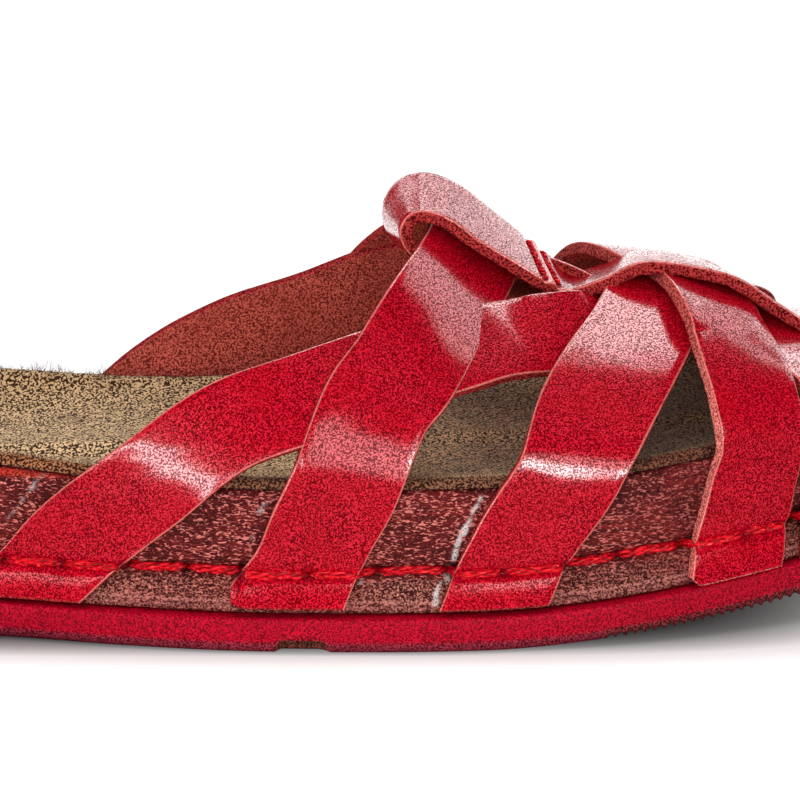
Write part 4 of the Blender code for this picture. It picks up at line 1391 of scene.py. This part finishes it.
def make_crossing_straps(line, dent, material):
    """The five straps that cross. Gives where their ten feet cross the seam."""
    last = Last()
    feet = []
    for number, (name, rows) in enumerate(STRAPS.items()):
        sheet, normals = strap_sheet(last, rows, corner=ROUND_TABS.get(name, 0.0),
                                     trim=SHORT_TABS.get(name, 0.0))
        width = np.asarray(rows)[:, 4].mean()
        rng = np.random.default_rng(100 + number)
        thick = LEATHER if name == "front_outer" else STRAP_LEATHER
        points, faces, values = strap_body(sheet, normals, width, thick, 0.4, rng, dent)
        if name == "front_outer":
            # painted light: this strap's cut faces away from the lamps, so it is painted paler,
            # palest up to 44 mm high
            height = points[:, 2].reshape(values["cut"].shape)
            values["pale"] = values["cut"] * (1 - 0.7 * smooth_step((height - 44) / 12))
        add_piece("strap_" + name, points, faces, material, "upper", values=values)
        face = points.reshape(values["cut"].shape + (3,))[:FACE_POINTS]
        half = face.shape[1] // 2
        for foot in (face[:, :half], face[:, half:]):
            feet.append(seam_crossing(line, foot, above_seam(foot)))
    return feet


def make_centre_strap(line, dent, material, sewing):
    """The centre strap and its two cross rows. Gives where its foot crosses the seam."""
    def both(points):
        (deep, sewn), (sunk, crossed, _puff) = dent(points), cross_dent(points)
        return deep + sunk, dict(sewn, hole_shade=np.maximum(sewn["hole_shade"], crossed))

    sheet, normals = centre_sheet()
    points, faces, values = strap_body(
        sheet, normals, CENTRE_WIDTH, LEATHER, 0.45, np.random.default_rng(200), both, 2.2)
    placed = points.reshape(values["cut"].shape + (3,))
    puff = cross_dent(placed)[2]
    values["lip"] = np.maximum(values["lip"], puff * (values["cut"] < 0.5))
    add_piece("strap_centre", points, faces, material, "upper", values=values)
    make_cross_stitches(sheet, sewing)
    foot = placed[:FACE_POINTS, -CENTRE_FOOT:]
    return seam_crossing(line, foot, foot[..., 2] - spring(foot[..., 0]) - SEAM_HEIGHT)


# ---------------------------------------------------------------- studio


# Columns: name, place, target, width, height, power, whether it is only seen mirrored.
LAMPS = (
    ("front_fill", (-0.1, -2.5, 0.8), (0.0, 0.0, 0.03), 2.8, 0.8, 34.0, False),
    ("left_fill", (-2.2, -1.0, 0.6), (0.0, 0.0, 0.03), 1.2, 1.2, 9.0, False),
    ("top_fill", (0.0, -0.2, 2.0), (0.0, 0.0, 0.0), 2.0, 2.0, 20.0, False),
    ("left_strip", (-1.1, -2.25, 0.27), (0.0, 0.0, 0.03), 1.4, 0.42, 13.0, True),
    ("right_strip", (1.16, -2.19, 0.56), (0.0, 0.0, 0.03), 1.25, 0.82, 26.0, True),
    ("front_halo", (0.8, -2.45, 0.95), (0.0, 0.0, 0.03), 2.1, 1.5, 17.0, True),
    ("backdrop", (0.3, 1.85, 0.2), (0.1, 0.0, 0.1), 2.6, 2.3, 48.0, True),
    ("panel_behind", (0.25, 1.0, 1.6), (0.0, 0.0, 0.04), 1.0, 1.3, 22.0, True),
    ("panel_aside", (1.24, 0.86, 1.02), (0.04, 0.0, 0.05), 0.9, 0.84, 5.0, True),
)
FLOOR = ((-6, -4, -0.0003), (6, -4, -0.0003), (6, 8, -0.0003), (-6, 8, -0.0003))
CAMERA_TARGET = (0.0269, -0.045, 0.04767)
CAMERA_TILT = 14.5      # degrees down
CAMERA_AWAY = 1.4
CAMERA_LENS = 349.5     # on a sensor 36 mm wide


def add_floor():
    """A pale floor that neither mirrors in the sandal nor casts a shadow."""
    mesh = bpy.data.meshes.new("floor")
    mesh.from_pydata(FLOOR, [], [(0, 1, 2, 3)])
    mesh.materials.append(floor_finish())
    floor = placed_object("floor", mesh)
    floor.visible_glossy = False
    floor.visible_shadow = False


def add_world():
    """A faint even light from all round that isn't mirrored in anything."""
    world = bpy.data.worlds.new("studio")
    world.use_nodes = True
    world.node_tree.nodes["Background"].inputs["Color"].default_value = (1, 1, 1, 1)
    world.node_tree.nodes["Background"].inputs["Strength"].default_value = 0.25
    world.cycles_visibility.glossy = False
    bpy.context.scene.world = world


def add_lamps():
    """Soft lamps: three that light the surfaces, and panels that are only seen mirrored in
    them. Each turns its -Z to its target."""
    for name, place, target, wide, high, power, mirrored in LAMPS:
        data = bpy.data.lights.new(name, "AREA")
        data.shape, data.size, data.size_y, data.energy = "RECTANGLE", wide, high, power
        lamp = placed_object(name, data)
        lamp.location = place
        away = Vector(target) - Vector(place)
        lamp.rotation_euler = away.to_track_quat("-Z", "Y").to_euler()
        lamp.visible_camera = False
        lamp.visible_glossy = mirrored
        lamp.visible_diffuse = not mirrored


def add_camera():
    """A long lens in front of the outer side, looking down at it by the tilt."""
    data = bpy.data.cameras.new("camera")
    data.sensor_width, data.lens = 36.0, CAMERA_LENS
    data.clip_start, data.clip_end = 0.05, 30.0
    camera = placed_object("camera", data)
    tilt = np.radians(CAMERA_TILT)
    back = np.array([0, -np.cos(tilt), np.sin(tilt)])
    camera.location = np.array(CAMERA_TARGET) + CAMERA_AWAY * back
    camera.rotation_euler = (np.pi / 2 - tilt, 0, 0)
    bpy.context.scene.camera = camera


def main():
    bpy.context.scene.view_settings.view_transform = "Standard"
    line = WallLine(FOOTBED_POINTS)
    holes = seam_holes(line)
    khaki = suede_finish("khaki_suede", (66, 40, 22), (255, 214, 164), (172, 90, 46))
    make_midsole(line, holes, wall_finish())
    make_outsole(WallLine(OUTSOLE_POINTS), rubber_finish())
    cover = WallLine(INSOLE_POINTS)
    make_insole(cover, khaki)
    make_insole_fuzz(cover, khaki)
    fine = WallLine(SEAM_POINTS)
    sewing, leather = thread_finish(), leather_finish()
    dent = seam_dent(fine, holes)
    feet = make_crossing_straps(fine, dent, leather)
    feet.append(make_centre_strap(fine, dent, leather, sewing))
    track, dark = seam_line(fine, feet, holes)
    make_thread("sewing_thread", track, dark, sewing, closed=True)
    add_floor()
    add_world()
    add_lamps()
    add_camera()


main()
